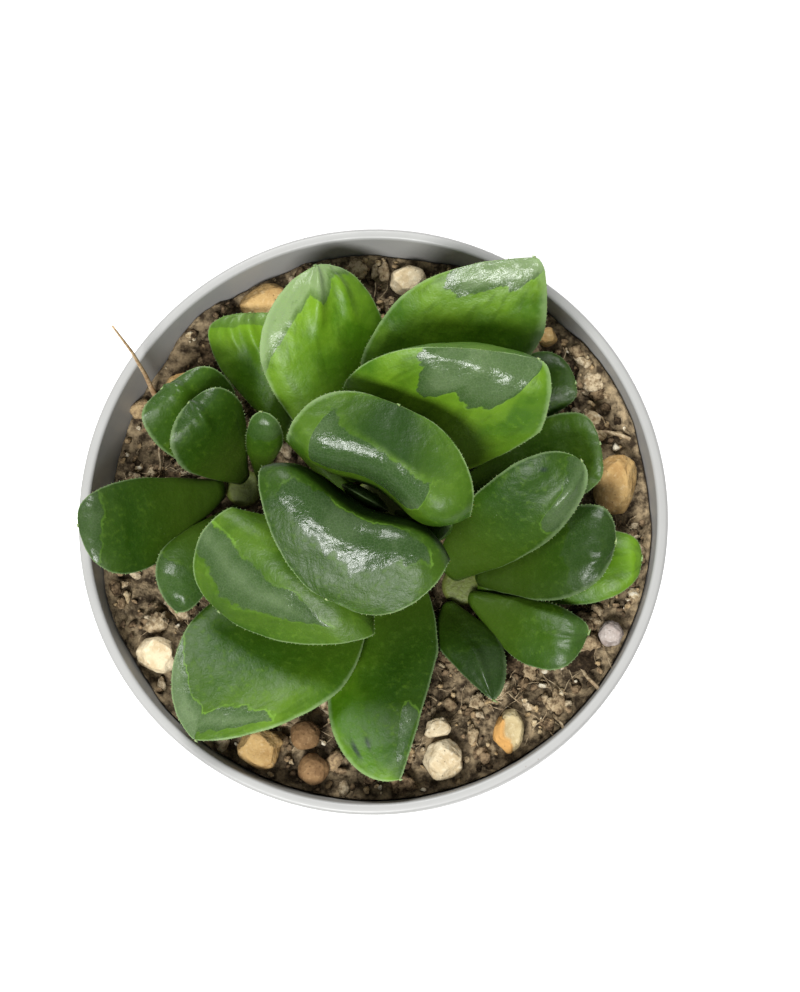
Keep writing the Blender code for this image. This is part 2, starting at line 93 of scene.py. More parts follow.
# The mix and the stems. The mix is banked up against the wall to these heights, by the compass
# angle from +X. Each stone has a flat bed in it.
SOIL_BANK = ((0, 65.5), (30, 66.0), (80, 63.5), (110, 63.9), (130, 65.5), (150, 61.5), (170, 60.0),
             (195, 66.0), (215, 66.5), (250, 65.0), (300, 64.5), (360, 65.5))
BANK_POWER = 5
SOIL_EDGE = 59.4
SOIL_HEAP = 0.8
STONE_BED = 59.9
BED_MARGIN = 1.5
BED_SLOPE = 2.0
SEAT_GAP = 0.3
SEAT_PLACES = 12
WALL_GAP = 0.25
MIX_RINGS = 90
MIX_STEPS = 288
STEM_FOOT = 52.0
STEM_STEPS = 16
LEAF_SCAR = 0.12

# The mix's relief: the frequency and height of each size of lump, and where its noise starts.
# WALL_CALM is how suddenly the larger lumps fade at the wall, CLOT_RISE how far from its middle
# a clot is level with the mix, and CRUMB_DROP how far the crumbs lower the whole surface.
WALL_CALM = 8
COARSE_LUMPS = (0.22, 0.9, 3.1)
FINE_LUMPS = (0.55, 0.6, 7.7)
SMALL_CRUMBS = (1.1, 0.3, 2.2)
TINY_CRUMBS = (2.4, 0.16, 5.5)
CLOTS = (0.62, 0.55, 0.4)
CLOT_RISE = 0.38
CRUMB_DROP = 0.15

# The litter on the mix. Sizes run from the smallest over a middle one to the largest, and
# SMALL_CLODS and SMALL_GRAINS are the shares of the pieces that are smaller than the middle one.
# Some of the fibres gather in a tuft.
LITTER_SEED = 23
CLOD_SIZES = (0.9, 2.3, 4.0)
SMALL_CLODS = 0.72
GRAIN_SIZES = (0.35, 1.1, 1.9)
SMALL_GRAINS = 0.93
LITTER_RADIUS = 37.7
FIBRE_STEPS = 6
FIBRE_LENGTHS = (1.5, 7.0)
FIBRE_RADII = (0.035, 0.1)
FIBRE_REACH = 36.8
FIBRE_TUFT = (24.0, -24.0)
TUFT_SPREAD = 5.0
TUFT_SHARE = 0.1

# The leaves' form: how the rings crowd towards the tip, how far up a thick foot reaches and how
# much of it is on the back, how far down the back is thickest and how full it is, and how round
# the edges are.
RING_CROWDING = 1.35
HEEL_REACH = 0.25
BACK_HEEL = 0.8
BACK_SHIFT = 0.08
BACK_FULLNESS = 1.7
EDGE_ROUNDING = 0.3

# The lumps of the flesh and of the skin, as frequency and height, how much stronger those of the
# skin are on a window, and how far along a fold starts.
FLESH_LUMPS = (0.3, 0.14)
SKIN_LUMPS = (0.95, 0.05)
WINDOW_LUMPS = 1.6
FOLD_START = 0.15

# The skin: the shares over which the heart's painted shade fades and the pale margin grows, the
# depth for no window, where a dark tip's shade starts to fade to the sides, and a spot's soft
# edge.
PAINTED_SHADE_FADE = 0.08
MARGIN_START = 0.15
MARGIN_FULL = 0.35
MARGIN_LEAST = 0.25
NO_WINDOW = -8.0
TIP_SHADE_EDGE = 0.85
TIP_SHADE_FADE = 0.6
SPOT_EDGE = 1.6

# How the leaves press on each other and keep off the mix: the gap, the rounds, how far a point
# may be pushed, the room above the mix, and the height below which a leaf may touch the mix.
PRESS_GAP = 0.12
PRESS_ROUNDS = 4
PRESS_REACH = 6
SOIL_CLEARANCE = 0.75
LOW_LEAF = 63.5

# The fine teeth on the leaves' margins: where they start, how far apart they stand, their sizes,
# the share that is missing, and how deep a spike is sunk into the skin. Each tip has a spike.
TOOTH_SEED = 7
TEETH_FROM = 0.3
TOOTH_SPACING = 0.62
TOOTH_LENGTHS = (0.14, 0.26)
TOOTH_RADII = (0.045, 0.075)
MISSING_TEETH = 0.12
SPIKE_ROOT = 0.06
TIP_RADIUS = 0.2
TIP_LENGTH = 0.5
PUP_TIP_LENGTH = 0.9
TIP_RISE = 0.25

# The photograph's camera: its focal length and the photo's width in pixels, its place in
# millimetres and the directions to its right, upwards and backwards.
FOCAL_PIXELS = 2218
PHOTO_WIDTH = 800
SENSOR_WIDTH = 36.0
CAMERA_PLACE = (19.6656, -40.3204, 366.6269)
CAMERA_RIGHT = (0.99859303, 0.0, -0.05302786)
CAMERA_UP = (0.0076035, 0.9896667, 0.14318524)
CAMERA_BACK = (0.05247991, -0.14338698, 0.98827427)

# The stage, in metres: the floor's half width, the lamps' widths and places, and what they aim at.
FLOOR_REACH = 1.6
FLOOR_DROP = 0.0002
LARGE_LAMP = (0.2, (-0.1, -0.34, 0.62))
SECOND_LAMP = (0.22, (-0.1, 0.4, 0.52))
LAMP_AIM = (0.0, 0.0, 0.07)


@dataclass
class Leaf:
    """One leaf: its foot, heading, lean, length, width, form and skin.

    heading is the compass angle of its tip from +X and lean its rise from level. roll turns its
    face about its length and slant sets its widest line askew. wide_at is where that line
    crosses, and sway and rise move the line's middle sideways and towards the face. front and
    back are the thickness on the face and under it. round_left and round_right say how square
    each side runs to the tip, cup how far the margins stand up, dip how deep the face is folded
    in, flatness how flat the face is, and lobe how much thicker its right half is. knee is how
    sharp its bend is, and corner how suddenly it stops widening. base and heel are the foot's
    width share and thickness.

    window_from and window_to are the clear window's borders, as places across the leaf, -1 to
    1, and shares of its length. clear is how strong the window is, milk how cloudy, and light
    how bright the leaf's green, partly its own tone and partly painted light and shade.
    gloom is the share of its length up to which its face is darkened with painted shade
    in the dark of the rosette, dim how far the whole leaf is darkened with painted
    shade, and dark_tip how dark its middle is beyond the window. tilt paints the
    right half lighter and the left half darker, as painted light and shade. root says how light
    its foot is, from painted shade to a paler foot that is partly its own tone and partly
    painted light, and ragged how uneven the window's borders are. pale_left and pale_right
    are how far the pale margin reaches in. creases are folds of the skin: where each starts and
    ends, as places across and shares of the length, its depth and its width. spots are small
    dark dots: place across, share of the length, half width and half length.
    """

    name: str
    foot: tuple
    heading: float
    lean: float
    length: float
    width: float
    roll: float = 0.0
    slant: float = 0.0
    wide_at: float = 0.7
    sway: float = 0.0
    rise: float = 0.0
    front: float = 1.0
    back: float = 3.0
    round_left: float = 2.0
    round_right: float = 2.0
    cup: float = 0.0
    dip: float = 0.0
    lobe: float = 0.0
    flatness: float = 3.0
    knee: float = 1.0
    corner: float = 0.0
    base: float = 0.25
    heel: float = 1.0
    window_from: tuple = ((-1.0, 0.8), (1.0, 0.8))
    window_to: tuple = ((-1.0, 2.0), (1.0, 2.0))
    clear: float = 0.6
    milk: float = 0.3
    light: float = 0.5
    gloom: float = 0.0
    dim: float = 0.0
    dark_tip: float = 0.0
    tilt: float = 0.0
    root: float = 0.25
    ragged: float = 0.7
    creases: tuple = ()
    pale_left: float = 0.35
    pale_right: float = 0.35
    spots: tuple = ()


# Firm leaves come first: each later leaf lies pressed against those before it.
LEAVES = (
    Leaf("leaf_upper_right_inner", (1.5, 5.5, 69), 59, 73, 23, 25.5, roll=-8, wide_at=0.78,
         sway=1, rise=8, front=3, back=8, round_left=3.2, round_right=3, dip=3, lobe=0.5,
         flatness=4, knee=1.6, corner=0.3, heel=1.5,
         window_from=((-0.8, 0.95), (-0.72, 0.45), (-0.3, 0.42), (0.3, 0.4), (0.48, 0.5),
                      (0.55, 0.7), (0.65, 0.9)),
         window_to=((-0.75, 0.9), (-0.45, 0.84), (-0.2, 0.81), (0.1, 0.78), (0.45, 0.79),
                    (0.65, 0.82)),
         clear=0.95, milk=0.0, light=0.28, gloom=0.36, dim=0.1, dark_tip=1.0, ragged=0.4,
         pale_left=0.9),
    Leaf("leaf_lower_left_inner", (-0.5, -1.5, 69), 249, 53, 20, 27, roll=7, wide_at=0.71,
         sway=1.5, rise=10, front=3, back=8, round_left=3, round_right=2.2, dip=3, flatness=4,
         knee=1.6, corner=0.3, heel=1.5,
         window_from=((-0.9, 0.75), (-0.75, 0.62), (-0.3, 0.56), (0.3, 0.56), (0.7, 0.64),
                      (0.9, 0.78)),
         window_to=((-0.9, 0.7), (-0.7, 0.76), (-0.5, 0.84), (-0.3, 0.9), (0, 0.88),
                    (0.4, 0.87), (0.65, 0.85), (0.9, 0.8)),
         clear=0.95, milk=0.0, light=0.05, gloom=0.57, dim=0.25, tilt=-0.15),
    Leaf("leaf_upper_right_middle", (4.8, 5.6, 66), 33, 48, 32, 24, roll=-37, slant=0.37,
         wide_at=0.63, sway=-6, rise=2, front=2, back=7, round_left=2.6, round_right=1.3,
         cup=1.5, heel=1.5,
         window_from=((-0.95, 0.84), (-0.6, 0.72), (-0.44, 0.6), (-0.35, 0.52), (-0.2, 0.55),
                      (-0.05, 0.61), (0.1, 0.55), (0.3, 0.56), (0.45, 0.6), (0.55, 0.72),
                      (0.6, 0.85), (0.7, 0.95), (1, 1.1)),
         clear=0.95, milk=0.15, light=0.58, root=1.0, ragged=1.0, pale_right=1.0),
    Leaf("leaf_lower_left_middle", (-2, -3.8, 66), 208, 26, 22.5, 23.5, roll=-5, slant=0.37,
         wide_at=0.58, sway=-2, rise=9, front=1.5, back=8, round_left=2.4, round_right=2.4,
         knee=1.6, corner=1, heel=1.5,
         window_from=((-0.95, 0.7), (-0.7, 0.72), (-0.35, 0.72), (-0.2, 0.72), (0, 0.77),
                      (0.3, 0.75), (0.5, 0.76), (0.7, 0.72), (0.95, 0.7)),
         window_to=((-0.9, 0.6), (-0.75, 0.73), (-0.6, 0.84), (-0.45, 0.89), (-0.1, 0.95),
                    (0.3, 0.96), (0.6, 0.93), (0.95, 0.88)),
         clear=0.9, milk=0.4, light=0.32, dim=0.12, dark_tip=0.4, ragged=0.25, pale_right=0.4),
    Leaf("leaf_upper_right_outer", (4.4, 6, 62.5), 55, 37, 39, 20, roll=-18, slant=0.57,
         wide_at=0.62, sway=-4, front=1.5, back=7, round_left=2.8, round_right=1.2, cup=1,
         heel=1.5,
         window_from=((-1, 0.92), (-0.7, 0.8), (-0.3, 0.71), (-0.1, 0.74), (0.2, 0.78),
                      (0.45, 0.73), (0.65, 0.81), (1, 0.86)),
         clear=0.85, milk=0.6, light=0.6, dim=0.1, root=0.5, ragged=1.0, pale_left=0.9,
         pale_right=1.8),
    Leaf("leaf_lower_left_outer", (-2.7, -3.4, 62.5), 233, 19, 35.5, 22, roll=-7, slant=0.19,
         wide_at=0.59, sway=-0.5, rise=1, back=6, round_left=1.35, round_right=1.5, cup=1,
         heel=1.5,
         window_from=((-0.95, 0.8), (-0.7, 0.72), (-0.4, 0.75), (-0.15, 0.77), (0.1, 0.82),
                      (0.25, 0.88), (0.45, 0.81), (0.65, 0.79), (0.8, 0.7), (1, 0.58)),
         window_to=((-0.95, 0.7), (-0.8, 0.76), (-0.65, 0.84), (-0.4, 0.92), (0.2, 0.97),
                    (0.5, 1.2), (1, 1.2)),
         clear=0.9, light=0.25, tilt=-0.2, ragged=0.9, pale_left=0.8),
    Leaf("leaf_front", (4, -5.4, 62.5), 270, 18, 31.5, 15, roll=-6, slant=0.34, wide_at=0.52,
         sway=2.5, rise=-0.5, back=5, round_left=1.2, round_right=2.1, cup=1, heel=1.5,
         window_from=((-0.95, 0.75), (-0.6, 0.68), (-0.45, 0.7), (-0.36, 0.82), (-0.2, 0.9),
                      (0.1, 1.2)),
         window_to=((-0.95, 0.75), (-0.8, 0.86), (-0.5, 0.92), (0, 0.94)),
         clear=0.9, milk=0.1, light=0.25, tilt=0.75, pale_left=0.5, pale_right=0.9,
         spots=((0.72, 0.81, 0.35, 1.3), (0.43, 0.8, 0.3, 0.8))),
    Leaf("leaf_right", (10.2, -6.4, 63.2), 34, 36, 27, 11.5, roll=-25, wide_at=0.59, sway=-1,
         rise=2, front=1.5, back=5, round_left=2.6, round_right=1.8, cup=1, base=0.4, heel=1.2,
         window_from=((-1, 1.1), (-0.6, 0.97), (0, 0.88), (0.3, 0.8), (0.42, 0.64),
                      (0.5, 0.58), (0.75, 0.55), (1, 0.6)),
         clear=0.7, milk=0.2, light=0.1, dim=0.15, pale_left=0.5, pale_right=1.1,
         spots=((-0.52, 0.82, 0.4, 0.45),),
         creases=((0.5, 0.93, 0.45, 0.5, 0.5, 0.9),)),
    Leaf("leaf_back", (-1.4, 6.4, 62.9), 102, 25, 30.5, 18, roll=-16, wide_at=0.64, sway=-1.5,
         front=2, back=4.5, round_left=1.5, round_right=1.6, heel=1.5,
         window_from=((-1, 0.45), (-0.6, 0.62), (-0.2, 0.8), (0.1, 0.7), (0.4, 0.88), (1, 0.85)),
         clear=0.7, milk=1.0, light=0.7, root=0.3, pale_left=1.2, pale_right=0.4,
         creases=((0.05, 0.96, -0.15, 0.45, 1.2, 1.15), (0.55, 0.88, 0.45, 0.5, 0.75, 1.0))),
    Leaf("leaf_back_low", (-4, 4.6, 62), 118, 12, 28, 11, roll=6, slant=-0.46, wide_at=0.74,
         sway=-2, rise=-0.5, back=3.5, round_left=2.6, round_right=2.6, corner=0.5,
         clear=0.45, light=0.95,
         creases=((0.05, 0.95, 0.1, 0.4, 0.9, 0.85), (-0.45, 0.9, -0.3, 0.5, 0.5, 0.7))),
    Leaf("leaf_right_low", (7.4, 1.4, 62.2), 18, 24, 27, 12, roll=3, slant=-0.11,
         wide_at=0.74, sway=-0.5, rise=-1, back=4, round_left=1.6, corner=0.6,
         clear=0.3, light=0.25, dim=0.25, pale_left=0.6),
    Leaf("leaf_far_right_low", (6.6, 3.9, 62), 34, 14, 26.5, 9, slant=-0.4, wide_at=0.74,
         sway=-3, rise=-1, round_left=1.6, corner=0.5, clear=0.3, light=0.2, dim=0.3),
    Leaf("left_pup_leaf_inner", (-18.5, 6.5, 64.5), 123, 60, 18, 11.5, roll=-10, slant=0.1,
         wide_at=0.74, sway=-0.5, rise=2, milk=0.0, light=0.0, dim=0.3, pale_left=1.1,
         creases=((0.1, 0.98, 0.0, 0.45, 0.9, 0.85),)),
    Leaf("left_pup_leaf_back", (-20, 7, 63), 128, 44, 17.5, 13, roll=-2, wide_at=0.74,
         sway=1, rise=1.5, front=0.5, back=3.5, round_left=2.2, round_right=2.2,
         clear=0.5, milk=0.0, light=0.1, dim=0.1, pale_left=0.8,
         creases=((0.2, 0.97, 0.1, 0.55, 1.1, 1.0),)),
    Leaf("left_pup_leaf_side", (-21.5, 4.8, 63), 201, 37, 23, 12.5, roll=8, slant=-0.16,
         sway=-2, rise=1, back=4, round_left=1.8, round_right=1.8,
         window_from=((-1, 0.8), (-0.3, 0.78), (0.3, 0.72), (1, 0.7)),
         clear=0.7, milk=0.1, light=0.1, dim=0.35, pale_left=0.4, pale_right=0.4),
    Leaf("left_pup_leaf_front", (-19.2, 1.8, 63.2), 245, 28, 18.5, 8.5, roll=6,
         sway=1.5, rise=2, back=4, round_left=1.5, round_right=1.4,
         window_from=((-1, 0.6), (1, 0.5)), milk=0.0, light=0.1, dim=0.15, pale_right=0.6),
    Leaf("left_pup_leaf_right", (-16, 7, 63), 75, 63, 14.5, 5, roll=-13, slant=0.11,
         wide_at=0.66, sway=0.5, rise=1, back=2, window_from=((-1, 0.6), (1, 0.6)),
         clear=0.5, milk=0.0, light=0.0),
    Leaf("right_pup_leaf_side", (14.6, -7.4, 63.5), 9, 32, 21.5, 12, roll=3, slant=-0.23,
         wide_at=0.69, rise=1.5, back=4, round_left=2.2, round_right=1.7,
         window_from=((-1, 0.55), (0, 0.5), (1, 0.6)), clear=0.5, milk=0.0, light=0.0, dim=0.45,
         creases=((0.5, 0.93, 0.3, 0.55, 0.4, 0.9),),
         pale_left=0.7, pale_right=0.9),
    Leaf("right_pup_leaf_front_side", (13.5, -10.5, 63), 340, 23, 18, 9, roll=1,
         wide_at=0.66, sway=2, rise=0.5, back=3.5, round_left=1.6, round_right=2.6,
         window_from=((-1, 0.62), (1, 0.7)), clear=0.4, milk=0.0, light=0.1,
         creases=((0.05, 0.95, 0.0, 0.4, 0.5, 0.85),)),
    Leaf("right_pup_leaf_front", (10.4, -11.5, 62.3), 294, 21, 15.5, 8, roll=10, slant=-0.38,
         wide_at=0.5, rise=1.5, round_left=1.6, round_right=1.3,
         window_from=((-1, 0.5), (0, 0.55), (1, 0.75)), clear=0.5, milk=0.0, light=0.0, dim=0.4,
         pale_left=1.0, creases=((0.05, 0.93, 0.0, 0.4, 0.6, 0.85),)),
    Leaf("right_pup_leaf_under", (14.6, -8.8, 61.8), 7, 17, 23, 9.5, roll=4, slant=-0.21,
         wide_at=0.73, rise=0.5, front=0.8, back=2.5, round_left=1.6, round_right=1.6,
         window_from=((-1, 0.85), (1, 0.85)), clear=0.2, light=0.85),
    Leaf("heart_leaf_left", (0, 2.2, 68.2), 240, 85, 14, 7, wide_at=0.6, front=0.8, back=1.2,
         light=0.15),
    Leaf("heart_leaf_right", (4, 0.2, 67.9), 333, 59, 15, 5, roll=5, back=1.5,
         light=0.15),
)


@dataclass
class Stem:
    """A short stem: the middle of its foot, its radius and the height of its top."""

    name: str
    middle: tuple
    radius: float
    top: float


STEMS = (
    Stem("main_stem", (1.5, 1.0), 5.0, 67.2),
    Stem("left_pup_stem", (-18.4, 5.2), 2.6, 62.6),
    Stem("right_pup_stem", (12.0, -8.6), 2.8, 62.3),
)


@dataclass
class Stone:
    """A stone on the mix: its middle, its size, its turn, how blocky it is and its kind."""

    name: str
    middle: tuple
    size: tuple
    turn: float
    block: float
    kind: str


STONES = (
    Stone("stone_ochre_back", (-15.0, 30.9), (7.2, 5.8, 3.4), 25, 0.6, "ochre"),
    Stone("stone_cream_back", (4.7, 34.0), (5.2, 4.4, 4.5), 0, 0.9, "cream"),
    Stone("stone_ochre_left", (-27.2, 18.9), (6.6, 4.6, 4.5), 40, 0.7, "ochre"),
    Stone("stone_cream_left", (-29.5, -18.3), (5.6, 4.6, 3.5), -20, 0.7, "cream"),
    Stone("stone_yellow_front", (-15.3, -31.1), (6.2, 5.4, 4.5), -26, 0.8, "ochre"),
    Stone("stone_pellet_inner", (-9.2, -29.3), (4.1, 4.0, 3.8), 0, 1.0, "pellet"),
    Stone("stone_pellet_outer", (-8.1, -33.9), (4.2, 4.2, 3.8), 30, 1.0, "pellet"),
    Stone("stone_cream_inner", (8.7, -28.3), (3.8, 2.7, 2.8), 15, 0.8, "cream"),
    Stone("stone_cream_front", (9.5, -32.5), (5.5, 5.2, 4.2), 35, 0.8, "cream"),
    Stone("stone_tan_front", (18.4, -28.7), (4.0, 6.0, 3.8), -12, 0.8, "tan"),
    Stone("stone_grey_right", (32.3, -15.7), (3.4, 3.6, 3.4), 0, 1.0, "grey"),
    Stone("stone_ochre_right", (33.1, 5.1), (5.6, 9.0, 4.5), -8, 0.8, "ochre"),
    Stone("stone_orange_right", (24.1, 25.5), (2.7, 2.6, 2.4), 20, 0.9, "ochre"),
)

# The stones' lumps and the grains', as frequency and height, how much of the stone over a broken
# face is gone, and how high a stone's middle lies as a share of its height.
STONE_LUMPS = ((1.3, 0.10), (3.1, 0.04), (8.0, 0.02))
GRAIN_LUMPS = ((2.4, 0.6), (5.0, 0.35))
CHIP_SEED = 60
CHIP_DEPTH = 0.85
STONE_RISE = 0.36

# The dry stalk: the points that it runs through, its radius and how much of that its tip loses.
STRAW_RADIUS = 0.45
STRAW_TAPER = 0.72
STRAW_STEPS = 6
STRAW_POINTS = ((-31.1, 18.5, 56.5), (-31.1, 18.6, 62.8), (-31.1, 19.8, 70.0),
                (-31.4, 21.1, 79.0), (-32.4, 22.6, 88.0))

# Larger grains that the photograph shows: their places, sizes and tones.
LAID_GRAINS = ((-13.3, -30.1, 3.0, 0.45), (-5.3, -32.7, 2.6, 0.4), (-33.0, 16.5, 3.4, 0.5),
               (30.2, 12.8, 4.4, 0.75))
GRIT_STOPS = ((0.0, (0.12, 0.08, 0.045)), (0.3, (0.30, 0.21, 0.12)), (0.6, (0.46, 0.33, 0.17)),
              (0.85, (0.58, 0.47, 0.29)), (1.0, (0.70, 0.64, 0.50)))

# Loose fibres that the photograph shows: their ends on the mix and their radius.
LAID_FIBRES = (
    ((30.5, 12.6), (35.6, 11.2), 0.28),
    ((28.2, -19.6), (30.6, -23.8), 0.26),
    ((24.6, -26.6), (26.2, -30.2), 0.22),
    ((-29.0, -9.6), (-27.4, -13.2), 0.16),
    ((-30.6, 7.4), (-30.0, 12.0), 0.16),
    ((-20.4, -26.4), (-17.0, -28.2), 0.18),
)


class PotSettings(bpy.types.PropertyGroup):
    """The pot's finish."""

    colour: FloatVectorProperty(name="Plastic", description="Colour of the pot's plastic",
                                default=(0.345, 0.345, 0.335), subtype="COLOR", min=0, max=1)
    lip: FloatProperty(name="Lip rounding", description="Radius of the rim's rounded edges",
                       default=0.5 * MM, unit="LENGTH", min=0.2 * MM, max=0.7 * MM)
    steps: IntProperty(name="Steps", description="Steps of the turned pot", default=192, min=48)


class SoilSettings(bpy.types.PropertyGroup):
    """The potting mix."""

    dark: FloatVectorProperty(name="Peat", description="Colour of the dark peat",
                              default=(0.034, 0.023, 0.013), subtype="COLOR", min=0, max=1)
    light: FloatVectorProperty(name="Crumbs", description="Colour of the lighter crumbs",
                               default=(0.42, 0.32, 0.19), subtype="COLOR", min=0, max=1)
    clods: IntProperty(name="Clods", description="Number of peat clods", default=900, min=0)
    grains: IntProperty(name="Grains", description="Number of small grains", default=1500, min=0)
    fibres: IntProperty(name="Fibres", description="Number of loose fibres", default=420, min=0)


class LeafSettings(bpy.types.PropertyGroup):
    """The leaves' skin."""

    bright: FloatVectorProperty(name="Bright green", description="Green next to the windows",
                                default=(0.15, 0.285, 0.014), subtype="COLOR", min=0, max=1)
    deep: FloatVectorProperty(name="Deep green", description="Green towards the foot",
                              default=(0.05, 0.135, 0.003), subtype="COLOR", min=0, max=1)
    shade: FloatVectorProperty(name="Dark green", description="Green of the darkest leaves",
                               default=(0.016, 0.05, 0.003), subtype="COLOR", min=0, max=1)
    window: FloatVectorProperty(name="Window", description="Colour of the clear windows",
                                default=(0.03, 0.066, 0.016), subtype="COLOR", min=0, max=1)
    milk: FloatVectorProperty(name="Milky window", description="Colour of the cloudy windows",
                              default=(0.21, 0.28, 0.15), subtype="COLOR", min=0, max=1)
    margin: FloatVectorProperty(name="Margin", description="Colour of the pale margins",
                                default=(0.26, 0.36, 0.17), subtype="COLOR", min=0, max=1)
    sides: IntProperty(name="Sides", description="Points round a leaf", default=96, min=24)
    rings: IntProperty(name="Rings", description="Rings along a leaf", default=68, min=16)


class StageSettings(bpy.types.PropertyGroup):
    """The floor and the lights."""

    floor: FloatVectorProperty(name="Floor", description="Colour of the floor",
                               default=(0.92, 0.92, 0.92), subtype="COLOR", min=0, max=1)
    key: FloatProperty(name="Key light", description="Power of the large lamp, in watts",
                       default=5.4, min=0)
    fill: FloatProperty(name="Fill light", description="Power of the second lamp, in watts",
                        default=2.9, min=0)
    sky: FloatProperty(name="Surroundings", description="Strength of the even light",
                       default=0.34, min=0)


class Shader:
    """A material's nodes while they are being joined up."""

    def __init__(self, name, roughness=0.5, specular=0.5):
        self.material = bpy.data.materials.new(name)
        self.material.use_nodes = True
        self.tree = self.material.node_tree
        self.surface = self.tree.nodes["Principled BSDF"]
        self.surface.inputs["Roughness"].default_value = roughness
        self.surface.inputs["Specular IOR Level"].default_value = specular
        self.place = self.add("ShaderNodeTexCoord").outputs["Object"]

    def add(self, kind, **settings):
        node = self.tree.nodes.new(kind)
        for key, value in settings.items():
            setattr(node, key, value)
        return node

    def feed(self, socket, value):
        if isinstance(value, bpy.types.NodeSocket):
            self.tree.links.new(value, socket)
        elif hasattr(value, "__len__") and len(value) == 3 and len(socket.default_value) == 4:
            socket.default_value = (*value, 1.0)
        else:
            socket.default_value = value

    def math(self, operation, one, two=0.0, clamp=False):
        node = self.add("ShaderNodeMath", operation=operation, use_clamp=clamp)
        self.feed(node.inputs[0], one)
        self.feed(node.inputs[1], two)
        return node.outputs[0]

    def times(self, one, two):
        """The product of two values."""
        return self.math("MULTIPLY", one, two)

    def about(self, value, reach):
        """A value that goes from 0 to 1, made to go about 0 by half of reach either way."""
        return self.times(self.math("SUBTRACT", value, 0.5), reach)

    def noise(self, size, detail=2.0, rough=0.5, place=None):
        """Noise from 0 to 1 whose lumps are about size millimetres across."""
        node = self.add("ShaderNodeTexNoise")
        self.feed(node.inputs["Vector"], place or self.place)
        self.feed(node.inputs["Scale"], 1.0 / size if place else 1.0 / (size * MM))
        self.feed(node.inputs["Detail"], detail)
        self.feed(node.inputs["Roughness"], rough)
        return node.outputs["Fac"]

    def cells(self, size, feature="F1"):
        """Distance to the nearest of many points about size millimetres apart, in cell widths."""
        node = self.add("ShaderNodeTexVoronoi", feature=feature)
        self.feed(node.inputs["Vector"], self.place)
        self.feed(node.inputs["Scale"], 1.0 / (size * MM))
        return node.outputs["Distance"]

    def band(self, value, low, high, start=0.0, end=1.0):
        """A smooth step from start to end as value goes from low to high."""
        node = self.add("ShaderNodeMapRange", interpolation_type="SMOOTHSTEP")
        names = ("Value", "From Min", "From Max", "To Min", "To Max")
        for name, number in zip(names, (value, low, high, start, end)):
            self.feed(node.inputs[name], number)
        return node.outputs["Result"]

    def mix(self, factor, one, two, blend="MIX"):
        """Colour one, mixed with colour two as far as factor says."""
        node = self.add("ShaderNodeMix", data_type="RGBA", blend_type=blend)
        self.feed(node.inputs["Factor"], factor)
        self.feed(node.inputs[6], one)
        self.feed(node.inputs[7], two)
        return node.outputs[2]

    def tint(self, factor, one, two):
        """Multiply colour one by colour two, as far as factor says."""
        return self.mix(factor, one, two, "MULTIPLY")

    def attribute(self, name):
        return self.add("ShaderNodeAttribute", attribute_name=name).outputs["Fac"]

    def vector(self, x, y, z):
        node = self.add("ShaderNodeCombineXYZ")
        for socket, value in zip(node.inputs, (x, y, z)):
            self.feed(socket, value)
        return node.outputs[0]

    def height(self):
        """The place's height, in metres."""
        node = self.add("ShaderNodeSeparateXYZ")
        self.feed(node.inputs[0], self.place)
        return node.outputs[2]

    def ramp(self, value, stops):
        """A colour picked from stops of (place, colour)."""
        node = self.add("ShaderNodeValToRGB")
        self.feed(node.inputs[0], value)
        ramp = node.color_ramp
        while len(ramp.elements) < len(stops):
            ramp.elements.new(0.5)
        for element, (place, colour) in zip(ramp.elements, stops):
            element.position = place
            element.color = (*colour, 1.0)
        return node.outputs[0]

    def finish(self, colour, bump=(), roughness=None):
        """Wire the colour, the roughness and the bumps of (height, millimetres)."""
        self.feed(self.surface.inputs["Base Color"], colour)
        if roughness is not None:
            self.feed(self.surface.inputs["Roughness"], roughness)
        normal = None
        for height, depth in bump:
            node = self.add("ShaderNodeBump")
            self.feed(node.inputs["Height"], height)
            self.feed(node.inputs["Distance"], depth * MM)
            self.feed(node.inputs["Strength"], 1.0)
            if normal is not None:
                self.feed(node.inputs["Normal"], normal)
            normal = node.outputs["Normal"]
        if normal is not None:
            self.feed(self.surface.inputs["Normal"], normal)
        return self.material


def scaled(colour, share):
    """A colour with each of its values multiplied by share."""
    return tuple(share * value for value in colour)


def pot_plastic(settings):
    """Light grey moulded plastic with a faint mould grain, scuffs and a little dust."""
    shader = Shader("pot_plastic", specular=0.45)
    grain = shader.noise(0.35, 3.0, 0.6)
    cloud = shader.noise(14.0, 3.0, 0.55)
    colour = tuple(settings.colour)
    body = shader.mix(shader.band(cloud, 0.35, 0.7), colour, scaled(colour, 0.95))
    dust = shader.band(shader.noise(3.0, 5.0, 0.65), 0.55, 0.75)
    low = shader.band(shader.height(), 0.058, 0.067, 0.08, 0.03)
    body = shader.mix(shader.times(dust, low), body, (0.17, 0.13, 0.095))
    fleck = shader.band(shader.cells(1.9), 0.03, 0.075, 1.0, 0.0)
    rare = shader.band(shader.noise(6.0), 0.56, 0.64)
    fleck = shader.times(fleck, shader.times(rare, 0.5))
    body = shader.mix(fleck, body, (0.16, 0.10, 0.07))
    rough = shader.band(shader.noise(2.4, 4.0), 0.3, 0.75, 0.38, 0.46)
    return shader.finish(body, ((grain, 0.015), (cloud, 0.04)), rough)


def mix_surface(settings):
    """Dark crumbly peat with lighter dust on it."""
    shader = Shader("mix_surface", 0.95, 0.2)
    crumbs = shader.noise(1.6, 6.0, 0.65)
    patches = shader.noise(7.0, 3.0, 0.55)
    dark, light = tuple(settings.dark), tuple(settings.light)
    body = shader.mix(shader.band(crumbs, 0.35, 0.72), dark, light)
    body = shader.mix(shader.band(patches, 0.45, 0.75, 0.0, 0.5), body, dark)
    pale = shader.band(shader.cells(1.1), 0.12, 0.26, 0.8, 0.0)
    body = shader.mix(shader.times(pale, 0.5), body, (0.36, 0.28, 0.18))
    return shader.finish(body, ((crumbs, 0.5), (shader.noise(0.5, 3.0), 0.12)))


